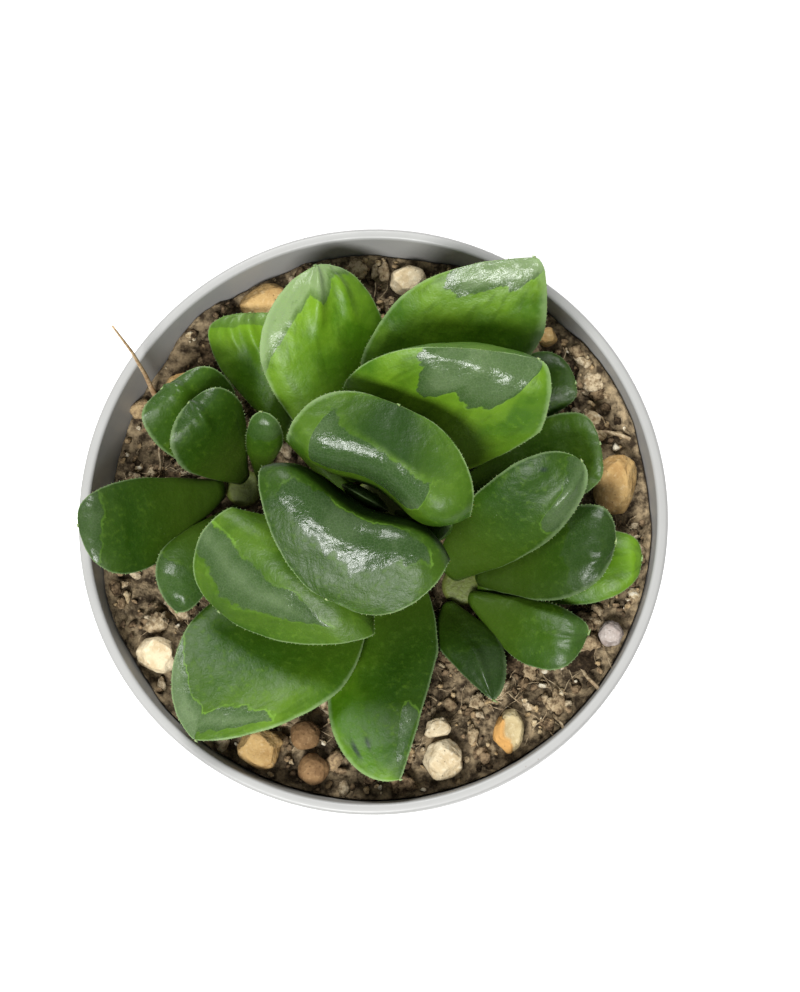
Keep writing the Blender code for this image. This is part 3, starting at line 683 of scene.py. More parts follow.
def mix_grains(name, stops, specular):
    """Loose grains: each has a tone of its own that picks its colour."""
    shader = Shader(name, 0.85, specular)
    tone = shader.attribute("tone")
    grit = shader.noise(0.7, 5.0, 0.65)
    wander = shader.about(grit, 1.1)
    body = shader.ramp(shader.math("ADD", tone, wander, clamp=True), stops)
    body = shader.tint(shader.band(grit, 0.35, 0.55, 0.7, 0.0), body, (0.4, 0.36, 0.33))
    return shader.finish(body, ((grit, 0.4), (shader.noise(0.3, 3.0), 0.1)))


STONE_COLOURS = {
    "ochre": ((0.50, 0.33, 0.13), (0.36, 0.215, 0.075), (0.62, 0.47, 0.26)),
    "tan": ((0.48, 0.39, 0.21), (0.36, 0.27, 0.13), (0.62, 0.54, 0.35)),
    "cream": ((0.64, 0.54, 0.36), (0.50, 0.39, 0.23), (0.77, 0.70, 0.53)),
    "pellet": ((0.24, 0.14, 0.06), (0.16, 0.088, 0.036), (0.34, 0.22, 0.105)),
    "grey": ((0.46, 0.40, 0.36), (0.30, 0.24, 0.21), (0.62, 0.58, 0.55)),
}


def stone_face(kind):
    """Weathered stone: cloudy colour, pale patches, fine pits and dirt in its hollows."""
    middle, dark, pale = STONE_COLOURS[kind]
    shader = Shader(f"{kind}_stone", 0.8, 0.3)
    cloud = shader.noise(2.6, 4.0, 0.6)
    fine = shader.noise(0.55, 5.0, 0.65)
    body = shader.mix(shader.band(cloud, 0.35, 0.62), dark, middle)
    body = shader.mix(shader.band(fine, 0.5, 0.75, 0.0, 0.75), body, pale)
    body = shader.mix(shader.attribute("warm"), body, (0.55, 0.30, 0.09))
    pits = shader.band(shader.cells(0.9), 0.05, 0.16, 1.0, 0.0)
    body = shader.mix(shader.times(pits, 0.55), body, scaled(dark, 0.4))
    dirt = shader.band(shader.height(), 0.0608, 0.0632, 0.8, 0.0)
    smear = shader.band(shader.noise(1.4, 4.0), 0.35, 0.6)
    body = shader.mix(shader.times(dirt, smear), body, (0.10, 0.062, 0.04))
    return shader.finish(body, ((cloud, 0.35), (fine, 0.18), (pits, 0.08)))


LEAF_COLOURS = {
    # Painted shade at the leaves' feet.
    "root_dark": (0.03, 0.06, 0.004),
    # The leaves' paler feet: partly their own tone, partly painted light.
    "root_light": (0.15, 0.27, 0.02),
    "border": (0.17, 0.33, 0.04),
    "back_dark": (0.04, 0.10, 0.012),
    "back_light": (0.09, 0.17, 0.03),
    "speck": (0.34, 0.44, 0.24),
    # Painted shade, multiplied in deep in the rosette and over shaded leaves.
    "gloom": (0.10, 0.12, 0.13),
    # Painted shade, multiplied in where the leaves lie low among the others.
    "low": (0.42, 0.5, 0.5),
    "spot": (0.012, 0.03, 0.012),
}


def window_border(shader, fine, flames):
    """How far inside the window's ragged border a place is, in millimetres."""
    shift = shader.times(shader.math("SUBTRACT", flames, 0.5),
                         shader.times(shader.attribute("ragged"), 4.4))
    border = shader.math("ADD", shader.attribute("window"), shift)
    return shader.math("ADD", border, shader.about(fine, 1.6))


def leaf_green(shader, settings, border, light, fine, streaks, cloud):
    """Green flesh, bright by the window, deep below, streaked, painted shade, a paler foot."""
    bright, deep = tuple(settings.bright), tuple(settings.deep)
    glow = shader.math("ADD", shader.band(border, -11.0, -0.5, 0.1, 0.8),
                       shader.about(cloud, 2.1), clamp=True)
    green = shader.mix(glow, deep, bright)
    # Where the light share is low the green goes to the darkest green: partly the leaf's own tone,
    # partly painted shade.
    green = shader.mix(shader.band(light, 0.0, 0.9, 0.9, 0.0), green, tuple(settings.shade))
    green = shader.mix(shader.band(streaks, 0.48, 0.7, 0.0, 0.36), green, scaled(deep, 0.5))
    green = shader.mix(shader.band(fine, 0.5, 0.8, 0.0, 0.3), green, scaled(bright, 0.9))
    # The foot goes from painted shade to a paler green, partly its own tone and partly painted
    # light, as the root value says.
    foot = shader.band(shader.attribute("along"), 0.1, 0.55, 0.85, 0.0)
    root = shader.mix(shader.attribute("root"), LEAF_COLOURS["root_dark"],
                      LEAF_COLOURS["root_light"])
    return shader.mix(foot, green, root)


def leaf_window(shader, settings, border, fine, cloud):
    """The glassy window: dark, with a pale net and milky clouds in it."""
    glass = tuple(settings.window)
    net = shader.cells(0.42, "DISTANCE_TO_EDGE")
    veil = shader.math("ADD", shader.times(shader.band(cloud, 0.45, 0.7), 0.16),
                       shader.band(net, 0.02, 0.09, 0.13, 0.0))
    milky = shader.times(shader.attribute("milk"), shader.band(border, 0.2, 3.2, 0.15, 1.1))
    veil = shader.math("ADD", veil, milky, clamp=True)
    pane = shader.mix(veil, glass, tuple(settings.milk))
    return shader.mix(shader.band(fine, 0.55, 0.75, 0.0, 0.4), pane, scaled(glass, 0.6))


def leaf_skin(settings):
    """Fleshy leaf skin: green below a ragged border, a glassy window above and a pale margin."""
    shader = Shader("leaf_skin", specular=0.2)
    clear, light = shader.attribute("clear"), shader.attribute("light")
    streak_place = shader.vector(shader.attribute("side"),
                                 shader.times(shader.attribute("run"), 0.3), light)
    streaks = shader.noise(1.5, 2.0, 0.5, streak_place)
    flames = shader.noise(2.2, 2.0, 0.55, streak_place)
    cloud = shader.noise(5.5, 3.0, 0.5)
    fine = shader.noise(0.9, 4.0, 0.6)
    grain = shader.noise(0.28, 2.0, 0.6)
    border = window_border(shader, fine, flames)
    pane_share = shader.times(shader.band(border, -0.12, 0.3), clear)
    line = shader.math("ABSOLUTE", shader.math("ADD", border, 0.2))
    line = shader.band(line, 0.05, 0.32, 1.0, 0.0)
    broken = shader.times(shader.band(cloud, 0.42, 0.62, 0.0, 0.45), shader.attribute("lined"))
    line = shader.times(line, shader.times(shader.band(clear, 0.4, 0.9), broken))
    green = leaf_green(shader, settings, border, light, fine, streaks, cloud)
    body = shader.mix(pane_share, green, leaf_window(shader, settings, border, fine, cloud))
    body = shader.mix(line, body, LEAF_COLOURS["border"])
    back = shader.mix(shader.band(cloud, 0.3, 0.7), LEAF_COLOURS["back_dark"],
                      LEAF_COLOURS["back_light"])
    body = shader.mix(shader.times(shader.attribute("under"), 0.7), body, back)
    rim = shader.math("ADD", shader.attribute("pale"), shader.times(fine, 0.6))
    rim = shader.band(rim, 0.45, 1.25)
    body = shader.mix(shader.times(rim, 0.5), body, tuple(settings.margin))
    speck = shader.band(shader.cells(0.8), 0.05, 0.1, 1.0, 0.0)
    speck = shader.times(speck, shader.band(shader.noise(2.2, 3.0), 0.55, 0.7))
    body = shader.mix(shader.times(speck, 0.4), body, LEAF_COLOURS["speck"])
    body = shader.mix(shader.attribute("beyond"), body, scaled(tuple(settings.shade), 0.9))
    # Painted shade darkens the face deep in the rosette and the whole of a leaf that lies in
    # shadow.
    body = shader.tint(shader.attribute("gloom"), body, LEAF_COLOURS["gloom"])
    # Painted shade: the lower a point of a leaf lies among the others, the darker it is made.
    low = shader.band(shader.height(), 0.063, 0.074, 0.6, 0.0)
    body = shader.tint(low, body, LEAF_COLOURS["low"])
    body = shader.mix(shader.attribute("spot"), body, LEAF_COLOURS["spot"])
    rough = shader.math("ADD", shader.band(pane_share, 0.0, 1.0, 0.4, 0.19),
                        shader.band(fine, 0.4, 0.7, -0.03, 0.07))
    shader.surface.inputs["Subsurface Weight"].default_value = 0.1
    shader.surface.inputs["Subsurface Radius"].default_value = (0.5, 1.0, 0.2)
    shader.surface.inputs["Subsurface Scale"].default_value = 0.0012
    bumps = ((streaks, 0.04), (fine, 0.055), (grain, 0.03), (cloud, 0.35))
    return shader.finish(body, bumps, rough)


def pale_tooth():
    """The pale horn of the margins' teeth and the leaves' tips."""
    shader = Shader("pale_tooth")
    fine = shader.noise(0.3, 2.0)
    body = shader.mix(shader.band(fine, 0.3, 0.7), (0.12, 0.20, 0.05), (0.30, 0.38, 0.17))
    shader.surface.inputs["Subsurface Weight"].default_value = 0.1
    shader.surface.inputs["Subsurface Scale"].default_value = 0.0003
    return shader.finish(body, ((fine, 0.02),))


def dry_stalk(name, dark, light):
    """Dry grass and roots: lengthwise streaks from brown to straw."""
    shader = Shader(name, 0.7)
    streak = shader.noise(0.5, 4.0, 0.6)
    patch = shader.noise(3.0, 2.0)
    body = shader.mix(shader.band(streak, 0.35, 0.65), dark, light)
    body = shader.tint(shader.band(patch, 0.5, 0.7, 0.0, 0.6), body, (0.6, 0.5, 0.42))
    return shader.finish(body, ((streak, 0.05),))


def stem_skin():
    """Old stem skin: yellow-green at the top, brown and fibrous below."""
    shader = Shader("stem_skin", 0.6)
    fine = shader.noise(0.6, 4.0, 0.6)
    rise = shader.math("ADD", shader.height(), shader.times(fine, 0.002))
    rise = shader.band(rise, 0.0605, 0.0635)
    body = shader.mix(rise, (0.12, 0.08, 0.04), (0.10, 0.13, 0.018))
    body = shader.tint(shader.band(fine, 0.35, 0.6, 0.5, 0.0), body, (0.5, 0.45, 0.3))
    return shader.finish(body, ((fine, 0.15),))


def studio_floor(settings):
    """A plain pale floor with the faintest paper grain."""
    shader = Shader("studio_floor", 0.8, 0.1)
    fibre = shader.noise(1.2, 3.0)
    colour = tuple(settings.floor)
    body = shader.mix(shader.band(fibre, 0.3, 0.7, 0.0, 0.3), colour, scaled(colour, 0.97))
    shader.surface.inputs["Emission Color"].default_value = (1.0, 1.0, 1.0, 1.0)
    shader.surface.inputs["Emission Strength"].default_value = 0.35
    return shader.finish(body, ((fibre, 0.01),))


def add_piece(bm, name, material, replaced=(), sharp=None):
    """Turn a closed bmesh into a finished piece that rides with the plant."""
    bmesh.ops.recalc_face_normals(bm, faces=bm.faces)
    mesh = bpy.data.meshes.new(name)
    bm.to_mesh(mesh)
    bm.free()
    mesh.shade_smooth()
    if sharp is not None:
        mesh.set_sharp_from_angle(angle=math.radians(sharp))
    mesh.materials.append(material)
    thing = bpy.data.objects.new(name, mesh)
    bpy.context.scene.collection.objects.link(thing)
    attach(thing, "root")
    if replaced:
        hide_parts(*replaced)
    return thing


def spun(profile, steps):
    """A closed turned body: a profile of (radius, height) pairs spun round the Z axis."""
    bm = bmesh.new()
    verts = [bm.verts.new((radius * MM, 0.0, height * MM)) for radius, height in profile]
    edges = [bm.edges.new(pair) for pair in zip(verts, verts[1:])]
    bmesh.ops.spin(bm, geom=verts + edges, cent=(0, 0, 0), axis=(0, 0, 1),
                   angle=2 * math.pi, steps=steps, use_merge=True)
    bmesh.ops.remove_doubles(bm, verts=bm.verts, dist=MERGE)
    bmesh.ops.recalc_face_normals(bm, faces=bm.faces)
    return bm


def multiply(bm, copies):
    """Copy the whole bmesh until it is there copies times; returns the vertices of one copy."""
    count = len(bm.verts)
    while len(bm.verts) < copies * count:
        bmesh.ops.duplicate(bm, geom=bm.verts[:] + bm.edges[:] + bm.faces[:])
    bm.verts.ensure_lookup_table()
    bmesh.ops.delete(bm, geom=bm.verts[copies * count:], context="VERTS")
    bm.verts.ensure_lookup_table()
    return count


def arc(middle, radius, start, end, count):
    """Points of an arc in the (radius, height) plane, its angles in degrees."""
    points = []
    for index in range(count + 1):
        angle = math.radians(start + (end - start) * index / count)
        points.append((middle[0] + radius * math.cos(angle), middle[1] + radius * math.sin(angle)))
    return points


def tube(bm, path, radii, sides):
    """A closed stalk: a ball's rings laid along a path of points in millimetres."""
    rings = len(path) + 1
    made = bmesh.ops.create_uvsphere(bm, u_segments=sides, v_segments=rings, radius=1.0)
    for vert in made["verts"]:
        angle = math.atan2(vert.co.y, vert.co.x)
        ring = round(math.acos(max(min(vert.co.z, 1.0), -1.0)) * rings / math.pi)
        step = min(max(rings - 1 - ring, 0), len(path) - 1)
        here = Vector(path[step])
        ahead = Vector(path[min(step + 1, len(path) - 1)]) - Vector(path[max(step - 1, 0)])
        across = ahead.orthogonal().normalized()
        other = ahead.normalized().cross(across)
        if ring in (0, rings):
            vert.co = here * MM
        else:
            radius = radii[min(step, len(radii) - 1)]
            turn = across * math.cos(angle) + other * math.sin(angle)
            vert.co = (here + turn * radius) * MM


def held(value):
    """A value held between 0 and 1."""
    return min(max(value, 0.0), 1.0)


def wall_radius(height):
    """The pot's inner radius at a height."""
    foot = BASE_RADIUS - WALL
    if height <= COLLAR_FOOT:
        return foot + (KNEE_RADIUS - foot) * (height - FLOOR) / (COLLAR_FOOT - FLOOR)
    share = (height - COLLAR_FOOT) / (POT_HEIGHT - COLLAR_FOOT)
    return KNEE_RADIUS + (RIM_INNER_RADIUS - KNEE_RADIUS) * share


def bank_rise(x, y):
    """How far the mix is banked up at a place, in millimetres."""
    angle = math.degrees(math.atan2(y, x)) % 360
    share = min(math.hypot(x, y) / KNEE_RADIUS, 1.0)
    return (between(SOIL_BANK, angle) - SOIL_EDGE) * share ** BANK_POWER


def bed_height(stone):
    """The height of the flat bed under a stone."""
    return STONE_BED + bank_rise(*stone.middle)


def lumps(x, y, kind):
    """One size of lump in the mix's relief, in millimetres."""
    often, high, start = kind
    return high * noise.noise(Vector((x * often, y * often, start)))


def soil_height(x, y):
    """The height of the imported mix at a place, in millimetres."""
    share = min(math.hypot(x, y) / KNEE_RADIUS, 1.0)
    relief = (lumps(x, y, COARSE_LUMPS) + lumps(x, y, FINE_LUMPS)) * (1 - share ** WALL_CALM)
    height = SOIL_EDGE + SOIL_HEAP * (1 - share * share) + relief + bank_rise(x, y)
    for stone in STONES:
        reach = max(stone.size[:2]) / 2 + BED_MARGIN
        away = math.hypot(x - stone.middle[0], y - stone.middle[1])
        bed = bed_height(stone)
        height = bed + (height - bed) * held((away - reach) / BED_SLOPE)
    return height


def seat_height(stone):
    """The height of a stone's underside, just above the highest mix beneath it."""
    reach = max(stone.size[:2]) / 2
    ring = [on_ring(math.tau * step / SEAT_PLACES, reach) for step in range(SEAT_PLACES)]
    places = [stone.middle] + [(stone.middle[0] + x, stone.middle[1] + y) for x, y in ring]
    return max(soil_height(*place) for place in places) + SEAT_GAP


def crumbled(x, y):
    """The mix's surface with its crumbs, in millimetres."""
    often, high, start = CLOTS
    away = noise.voronoi(Vector((x * often, y * often, start)))[0][0]
    rise = soil_height(x, y) + lumps(x, y, SMALL_CRUMBS) + lumps(x, y, TINY_CRUMBS)
    return rise + high * (CLOT_RISE - away) - CRUMB_DROP


def lumpy(axis, seed, kinds):
    """How far out the surface of a lumpy ball lies in a direction."""
    return 1 + sum(high * noise.noise(axis * often + seed) for often, high in kinds)


def on_ring(angle, radius):
    """A place on a circle round the pot's middle, in millimetres."""
    return radius * math.cos(angle), radius * math.sin(angle)


def leaf_axes(leaf):
    """The leaf's own directions: along it, to its right and out of its face."""
    heading, lean, roll = (math.radians(v) for v in (leaf.heading, leaf.lean, leaf.roll))
    along = Vector((math.cos(lean) * math.cos(heading), math.cos(lean) * math.sin(heading),
                    math.sin(lean)))
    level = Vector((math.sin(heading), -math.cos(heading), 0.0))
    up = level.cross(along)
    side = level * math.cos(roll) + up * math.sin(roll)
    face = up * math.cos(roll) - level * math.sin(roll)
    return along, side, face


def bent(share, middle, end, weight):
    """A rational curve from the origin through middle, half way, to end."""
    pull = [((2 + 2 * weight) * m - e) / (2 * weight) for m, e in zip(middle, end)]
    first = 2 * weight * share * (1 - share)
    second = share * share
    total = (1 - share) ** 2 + first + second
    return [(first * p + second * e) / total for p, e in zip(pull, end)]


def half_width(leaf, share, left):
    """The leaf's half width at a share of its length."""
    if share < 0.5:
        opening = math.sin(math.pi * share)
        opening += leaf.corner * (2 * share - opening)
        return leaf.width / 2 * (leaf.base + (1 - leaf.base) * opening)
    power = leaf.round_left if left else leaf.round_right
    return leaf.width / 2 * max(1 - (2 * share - 1) ** power, 0.0) ** (1 / power)


def leaf_point(leaf, axes, angle, share):
    """A point of the leaf's surface, at an angle round it and a share of its length."""
    across = math.cos(angle)
    on_face = math.sin(angle) >= 0
    half = half_width(leaf, share, across < 0)
    middle = leaf.wide_at * leaf.length
    end = (leaf.length, 0.0)
    margin = bent(share, (middle, leaf.rise), end, leaf.knee)
    sideways = bent(share, (middle, leaf.sway), end, leaf.knee)[1]
    if on_face:
        front = leaf.front * (1 + leaf.lobe * across)
        edge = bent(share, (middle, leaf.rise + front), end, leaf.knee)
        fill = 1 - abs(across) ** leaf.flatness
        fold = leaf.dip * (1 - across * across) ** 3 * math.sin(math.pi * share)
    else:
        behind = middle - BACK_SHIFT * leaf.length
        edge = bent(share, (behind, leaf.rise - leaf.back), end, leaf.knee)
        fill = 1 - abs(across) ** BACK_FULLNESS
        fold = 0.0
    heel = leaf.heel * max(1 - share / HEEL_REACH, 0.0) ** 2
    forward = margin[0] + (edge[0] - margin[0]) * fill + leaf.slant * across * half
    lift = margin[1] + (edge[1] - margin[1]) * fill - fold
    lift += heel * (fill if on_face else -BACK_HEEL * fill)
    lift += leaf.cup * across * across * half / (leaf.width / 2)
    lift += EDGE_ROUNDING * math.sin(angle) * min(1.0, 6 * (1 - share))
    along, side, face = axes
    offset = along * forward + side * (sideways + across * half) + face * lift
    return Vector(leaf.foot) + offset


def between(points, place):
    """The value at a place on a line through (place, value) points."""
    if place <= points[0][0]:
        return points[0][1]
    for (one, low), (two, high) in zip(points, points[1:]):
        if place <= two:
            return low + (high - low) * (place - one) / (two - one)
    return points[-1][1]


def spot_share(leaf, across, share):
    """How much of a place on the face a dark spot covers."""
    most = 0.0
    for place, where, wide, long in leaf.spots:
        dx = (across - place) * leaf.width / 2 / wide
        dy = (share - where) * leaf.length / long
        most = max(most, held(SPOT_EDGE - math.hypot(dx, dy)))
    return most


def skin_values(leaf, angle, share, point, edge_point):
    """What the leaf's skin needs to know at a point of its surface."""
    across = math.cos(angle)
    on_face = math.sin(angle) >= 0
    first, last = between(leaf.window_from, across), between(leaf.window_to, across)
    reach = leaf.pale_left if across < 0 else leaf.pale_right
    reach *= min(max((share - MARGIN_START) / MARGIN_FULL, MARGIN_LEAST), 1.0)
    past = (share - last) * leaf.length if on_face else 1.0
    past = held(past) * held((TIP_SHADE_EDGE - abs(across)) / TIP_SHADE_FADE)
    # Painted shade: the face darkens up to a share of its length in the heart of the rosette, and
    # a shaded leaf darkens all over.
    gloom = held((leaf.gloom - share) / PAINTED_SHADE_FADE) if on_face else 0.0
    lined = 1.0 if share < (first + last) / 2 else 0.3
    return {
        "window": min(share - first, last - share) * leaf.length if on_face else NO_WINDOW,
        "clear": leaf.clear,
        "milk": leaf.milk,
        "gloom": max(leaf.dim, gloom),
        "beyond": past * leaf.dark_tip,
        "lined": lined if on_face else 0.0,
        "root": leaf.root,
        "ragged": leaf.ragged,
        # Partly the leaf's own tone and partly painted light and shade, with painted light on one
        # half and painted shade on the other.
        "light": held(leaf.light + leaf.tilt * across),
        "along": share,
        "under": 0.0 if on_face else min(-2.0 * math.sin(angle), 1.0),
        "pale": max(1 - (point - edge_point).length / reach, 0.0),
        "side": across * leaf.width / 2,
        "run": share * leaf.length,
        "spot": spot_share(leaf, across, share) if on_face else 0.0,
    }


def corners(bm):
    """The lowest and highest corner of a bmesh."""
    lines = [[vert.co[axis] for vert in bm.verts] for axis in range(3)]
    return Vector([min(line) for line in lines]), Vector([max(line) for line in lines])


def inside(tree, place):
    """Whether a place lies inside a closed surface, by counting the walls above it."""
    direction = Vector((0.13, 0.07, 0.99)).normalized()
    start = place.copy()
    walls = 0
    while True:
        hit = tree.ray_cast(start, direction)[0]
        if hit is None:
            return walls % 2 == 1
        walls += 1
        start = hit + direction * (0.001 * MM)


SKIN_LAYERS = ("window", "clear", "milk", "light", "gloom", "beyond", "lined", "root", "ragged",
               "along", "under", "pale", "side", "run", "spot")


class LeafForm:
    """A leaf as a closed bmesh, with the points of its two margins kept for their teeth."""

    def __init__(self, leaf, sides, rings):
        self.leaf = leaf
        self.axes = leaf_axes(leaf)
        self.bm = bmesh.new()
        self.margins = {0.0: [], math.pi: []}
        bmesh.ops.create_uvsphere(self.bm, u_segments=sides, v_segments=rings, radius=1.0)
        layers = {name: self.bm.verts.layers.float.new(name) for name in SKIN_LAYERS}
        feet = []
        edge_points = {}
        for vert in self.bm.verts:
            angle = math.atan2(vert.co.y, vert.co.x)
            ring = round(math.acos(max(min(vert.co.z, 1.0), -1.0)) * rings / math.pi)
            even = (rings - 1 - ring) / (rings - 1)
            if even < 0:
                foot_pole = vert
                continue
            share = 1 - (1 - even) ** RING_CROWDING
            side = 0.0 if math.cos(angle) >= 0 else math.pi
            if (ring, side) not in edge_points:
                edge_points[ring, side] = leaf_point(leaf, self.axes, side, share)
            point = leaf_point(leaf, self.axes, angle, share)
            values = skin_values(leaf, angle, share, point, edge_points[ring, side])
            for name, layer in layers.items():
                vert[layer] = values[name]
            vert.co = point * MM
            if abs(abs(math.cos(angle)) - 1) < 0.00001:
                self.margins[side].append((share, vert))
            if ring == rings - 1:
                feet.append(vert)
        foot_pole.co = sum((vert.co for vert in feet), Vector()) / len(feet)
        for name, layer in layers.items():
            foot_pole[layer] = feet[0][layer]
        for line in self.margins.values():
            line.sort(key=lambda pair: pair[0])
        bmesh.ops.recalc_face_normals(self.bm, faces=self.bm.faces)
        self.bm.normal_update()
        self.swell()

    def swell(self):
        """Give the smooth form the slight lumps of real flesh."""
        window = self.bm.verts.layers.float["window"]
        (often, high), (skin_often, skin_high) = FLESH_LUMPS, SKIN_LUMPS
        offsets = []
        for vert in self.bm.verts:
            place = vert.co / MM
            rough = WINDOW_LUMPS if vert[window] > 0 else 1.0
            lump = high * noise.noise(place * often)
            lump += skin_high * rough * noise.noise(place * skin_often)
            offsets.append(vert.normal * (lump - self.crease(vert)) * MM)
        for vert, offset in zip(self.bm.verts, offsets):
            vert.co += offset

    def crease(self, vert):
        """How deep the folds of the face are at a vertex, in millimetres."""
        layers = self.bm.verts.layers.float
        if vert[layers["under"]] > 0:
            return 0.0
        side, run = vert[layers["side"]], vert[layers["run"]]
        depth = 0.0
        for across, share, to_across, to_share, deep, wide in self.leaf.creases:
            half, length = self.leaf.width / 2, self.leaf.length
            start = Vector((across * half, share * length))
            line = Vector((to_across * half, to_share * length)) - start
            away = Vector((side, run)) - start
            part = held(away.dot(line) / line.length_squared)
            near = (away - line * part).length
            fade = math.sin(math.pi * min(part + FOLD_START, 1.0))
            depth += deep * math.exp(-(near / wide) ** 2) * fade
        return depth

    def lift_off_soil(self):
        """Lift the points that would dip into the mix."""
        for vert in self.bm.verts:
            if vert.co.z < LOW_LEAF * MM:
                floor = soil_height(vert.co.x / MM, vert.co.y / MM) + SOIL_CLEARANCE
                vert.co.z = max(vert.co.z, floor * MM)

    def press_on(self, firm_tree, firm_box):
        """Move the points that are in or too near a firm form to just off it."""
        gap = PRESS_GAP * MM
        low, high = firm_box
        mine, top = corners(self.bm)
        if any(mine[axis] > high[axis] + gap or top[axis] < low[axis] - gap for axis in range(3)):
            return
        near = [vert for vert in self.bm.verts
                if all(low[axis] - gap < vert.co[axis] < high[axis] + gap for axis in range(3))]
        for _ in range(PRESS_ROUNDS):
            moved = 0
            for vert in near:
                place = vert.co
                hit, normal, _, away = firm_tree.find_nearest(place, PRESS_REACH * MM)
                if hit is None:
                    continue
                within = (place - hit).dot(normal) < 0 and inside(firm_tree, place)
                if not within and away >= gap:
                    continue
                outward = hit - place if within else place - hit
                outward = outward.normalized() if outward.length > MERGE else normal
                vert.co = hit + outward * gap * 1.05
                moved += 1
            if not moved:
                return


# The leaves' forms and the search trees of the stems and leaves, once they are made.
GROWN = {}


def grown_leaves(settings):
    """Every leaf's form, pressed against the stems and the firmer leaves, made once."""
    if "forms" in GROWN:
        return GROWN["forms"]
    firm = []
    for stem in STEMS:
        bm = spun(((0, STEM_FOOT), (stem.radius, STEM_FOOT), (stem.radius, stem.top - 0.7),
                   (stem.radius * 0.75, stem.top), (0, stem.top)), 24)
        bmesh.ops.translate(bm, verts=bm.verts, vec=Vector((*stem.middle, 0)) * MM)
        firm.append((BVHTree.FromBMesh(bm), corners(bm)))
        bm.free()
    forms = []
    for leaf in LEAVES:
        sides, rings = settings.sides, settings.rings
        if not leaf.name.startswith("leaf"):
            sides, rings = sides * 2 // 3, rings * 2 // 3
        form = LeafForm(leaf, sides, rings)
        for _ in range(2):
            form.lift_off_soil()
            for tree, box in firm:
                form.press_on(tree, box)
        form.bm.normal_update()
        firm.append((BVHTree.FromBMesh(form.bm), corners(form.bm)))
        forms.append(form)
    GROWN["forms"] = forms
    GROWN["trees"] = [tree for tree, _ in firm]
    return forms


def clear_of_leaves(place, reach):
    """Whether a place in millimetres is farther than reach from every leaf and stem."""
    spot = Vector(place) * MM
    return all(tree.find_nearest(spot, reach * MM)[0] is None for tree in GROWN["trees"])


def points_on_margin(line, spacing):
    """Places along a margin, spacing millimetres apart, each with its direction onwards."""
    places = []
    carried = 0.0
    for (share, vert), (_, ahead) in zip(line, line[1:]):
        step = (ahead.co - vert.co) / MM
        length = step.length
        if length < 0.001:
            continue
        while carried < length:
            places.append((share, vert.co / MM + step * (carried / length), step.normalized()))
            carried += spacing
        carried -= length
    return places


def add_spike(bm, place, towards, radius, length, sides=5):
    """A small cone whose foot is sunk a little into the skin."""
    turn = towards.normalized().to_track_quat("Z", "Y").to_matrix().to_4x4()
    middle = place + towards.normalized() * (length / 2 - SPIKE_ROOT)
    bmesh.ops.create_cone(bm, cap_ends=True, cap_tris=False, segments=sides, radius1=radius * MM,
                          radius2=radius * 0.15 * MM, depth=length * MM,
                          matrix=Matrix.Translation(middle * MM) @ turn)


def margin_teeth(forms, bm, chance):
    """The fine teeth that stand along both margins of each leaf."""
    for form in forms:
        _, side, face = form.axes
        for angle, line in form.margins.items():
            out = side if angle == 0.0 else -side
            for share, place, ahead in points_on_margin(line, TOOTH_SPACING):
                if share < TEETH_FROM or chance.random() < MISSING_TEETH:
                    continue
                towards = out - ahead * out.dot(ahead)
                if towards.length < 0.2:
                    towards = form.axes[0]
                towards = towards.normalized() + face * chance.uniform(-0.15, 0.35)
                towards += ahead * chance.uniform(0.0, 0.5)
                length = chance.uniform(*TOOTH_LENGTHS)
                add_spike(bm, place, towards, chance.uniform(*TOOTH_RADII), length)


class HAWORTHIA_OT_stage(bpy.types.Operator):
    """Lay the pale floor, hang the soft lights and set up the camera"""

    bl_idname = "haworthia.stage"
    bl_label = "Stage"

    def execute(self, context):
        settings = context.scene.haworthia_stage
        bm = bmesh.new()
        bmesh.ops.create_grid(bm, x_segments=24, y_segments=24, size=FLOOR_REACH)
        bmesh.ops.translate(bm, verts=bm.verts, vec=(0, 0, -FLOOR_DROP))
        mesh = bpy.data.meshes.new("pale_floor")
        bm.to_mesh(mesh)
        bm.free()
        mesh.materials.append(studio_floor(settings))
        floor = bpy.data.objects.new("pale_floor", mesh)
        context.scene.collection.objects.link(floor)
        self.lamp(context, "large_lamp", settings.key, *LARGE_LAMP)
        self.lamp(context, "second_lamp", settings.fill, *SECOND_LAMP)
        world = bpy.data.worlds.new("even_light")
        world.use_nodes = True
        shade = world.node_tree.nodes["Background"]
        shade.inputs["Color"].default_value = (1.0, 1.0, 1.0, 1.0)
        shade.inputs["Strength"].default_value = settings.sky
        context.scene.world = world
        context.scene.view_settings.view_transform = "Standard"
        self.camera(context)
        return {"FINISHED"}

    def lamp(self, context, name, power, size, place):
        light = bpy.data.lights.new(name, "AREA")
        light.shape = "DISK"
        light.size = size
        light.energy = power
        lamp = bpy.data.objects.new(name, light)
        context.scene.collection.objects.link(lamp)
        lamp.location = place
        aim = Vector(LAMP_AIM) - Vector(place)
        lamp.rotation_euler = aim.to_track_quat("-Z", "Y").to_euler()

    def camera(self, context):
        """The photograph's view: a little in front of straight down, from some 37 cm."""
        data = bpy.data.cameras.new("photo_camera")
        data.sensor_fit = "HORIZONTAL"
        data.sensor_width = SENSOR_WIDTH
        data.lens = SENSOR_WIDTH * FOCAL_PIXELS / PHOTO_WIDTH
        data.clip_start = 0.01
        camera = bpy.data.objects.new("photo_camera", data)
        context.scene.collection.objects.link(camera)
        turn = Matrix((CAMERA_RIGHT, CAMERA_UP, CAMERA_BACK)).transposed().to_4x4()
        camera.matrix_world = Matrix.Translation(Vector(CAMERA_PLACE) * MM) @ turn
        context.scene.camera = camera


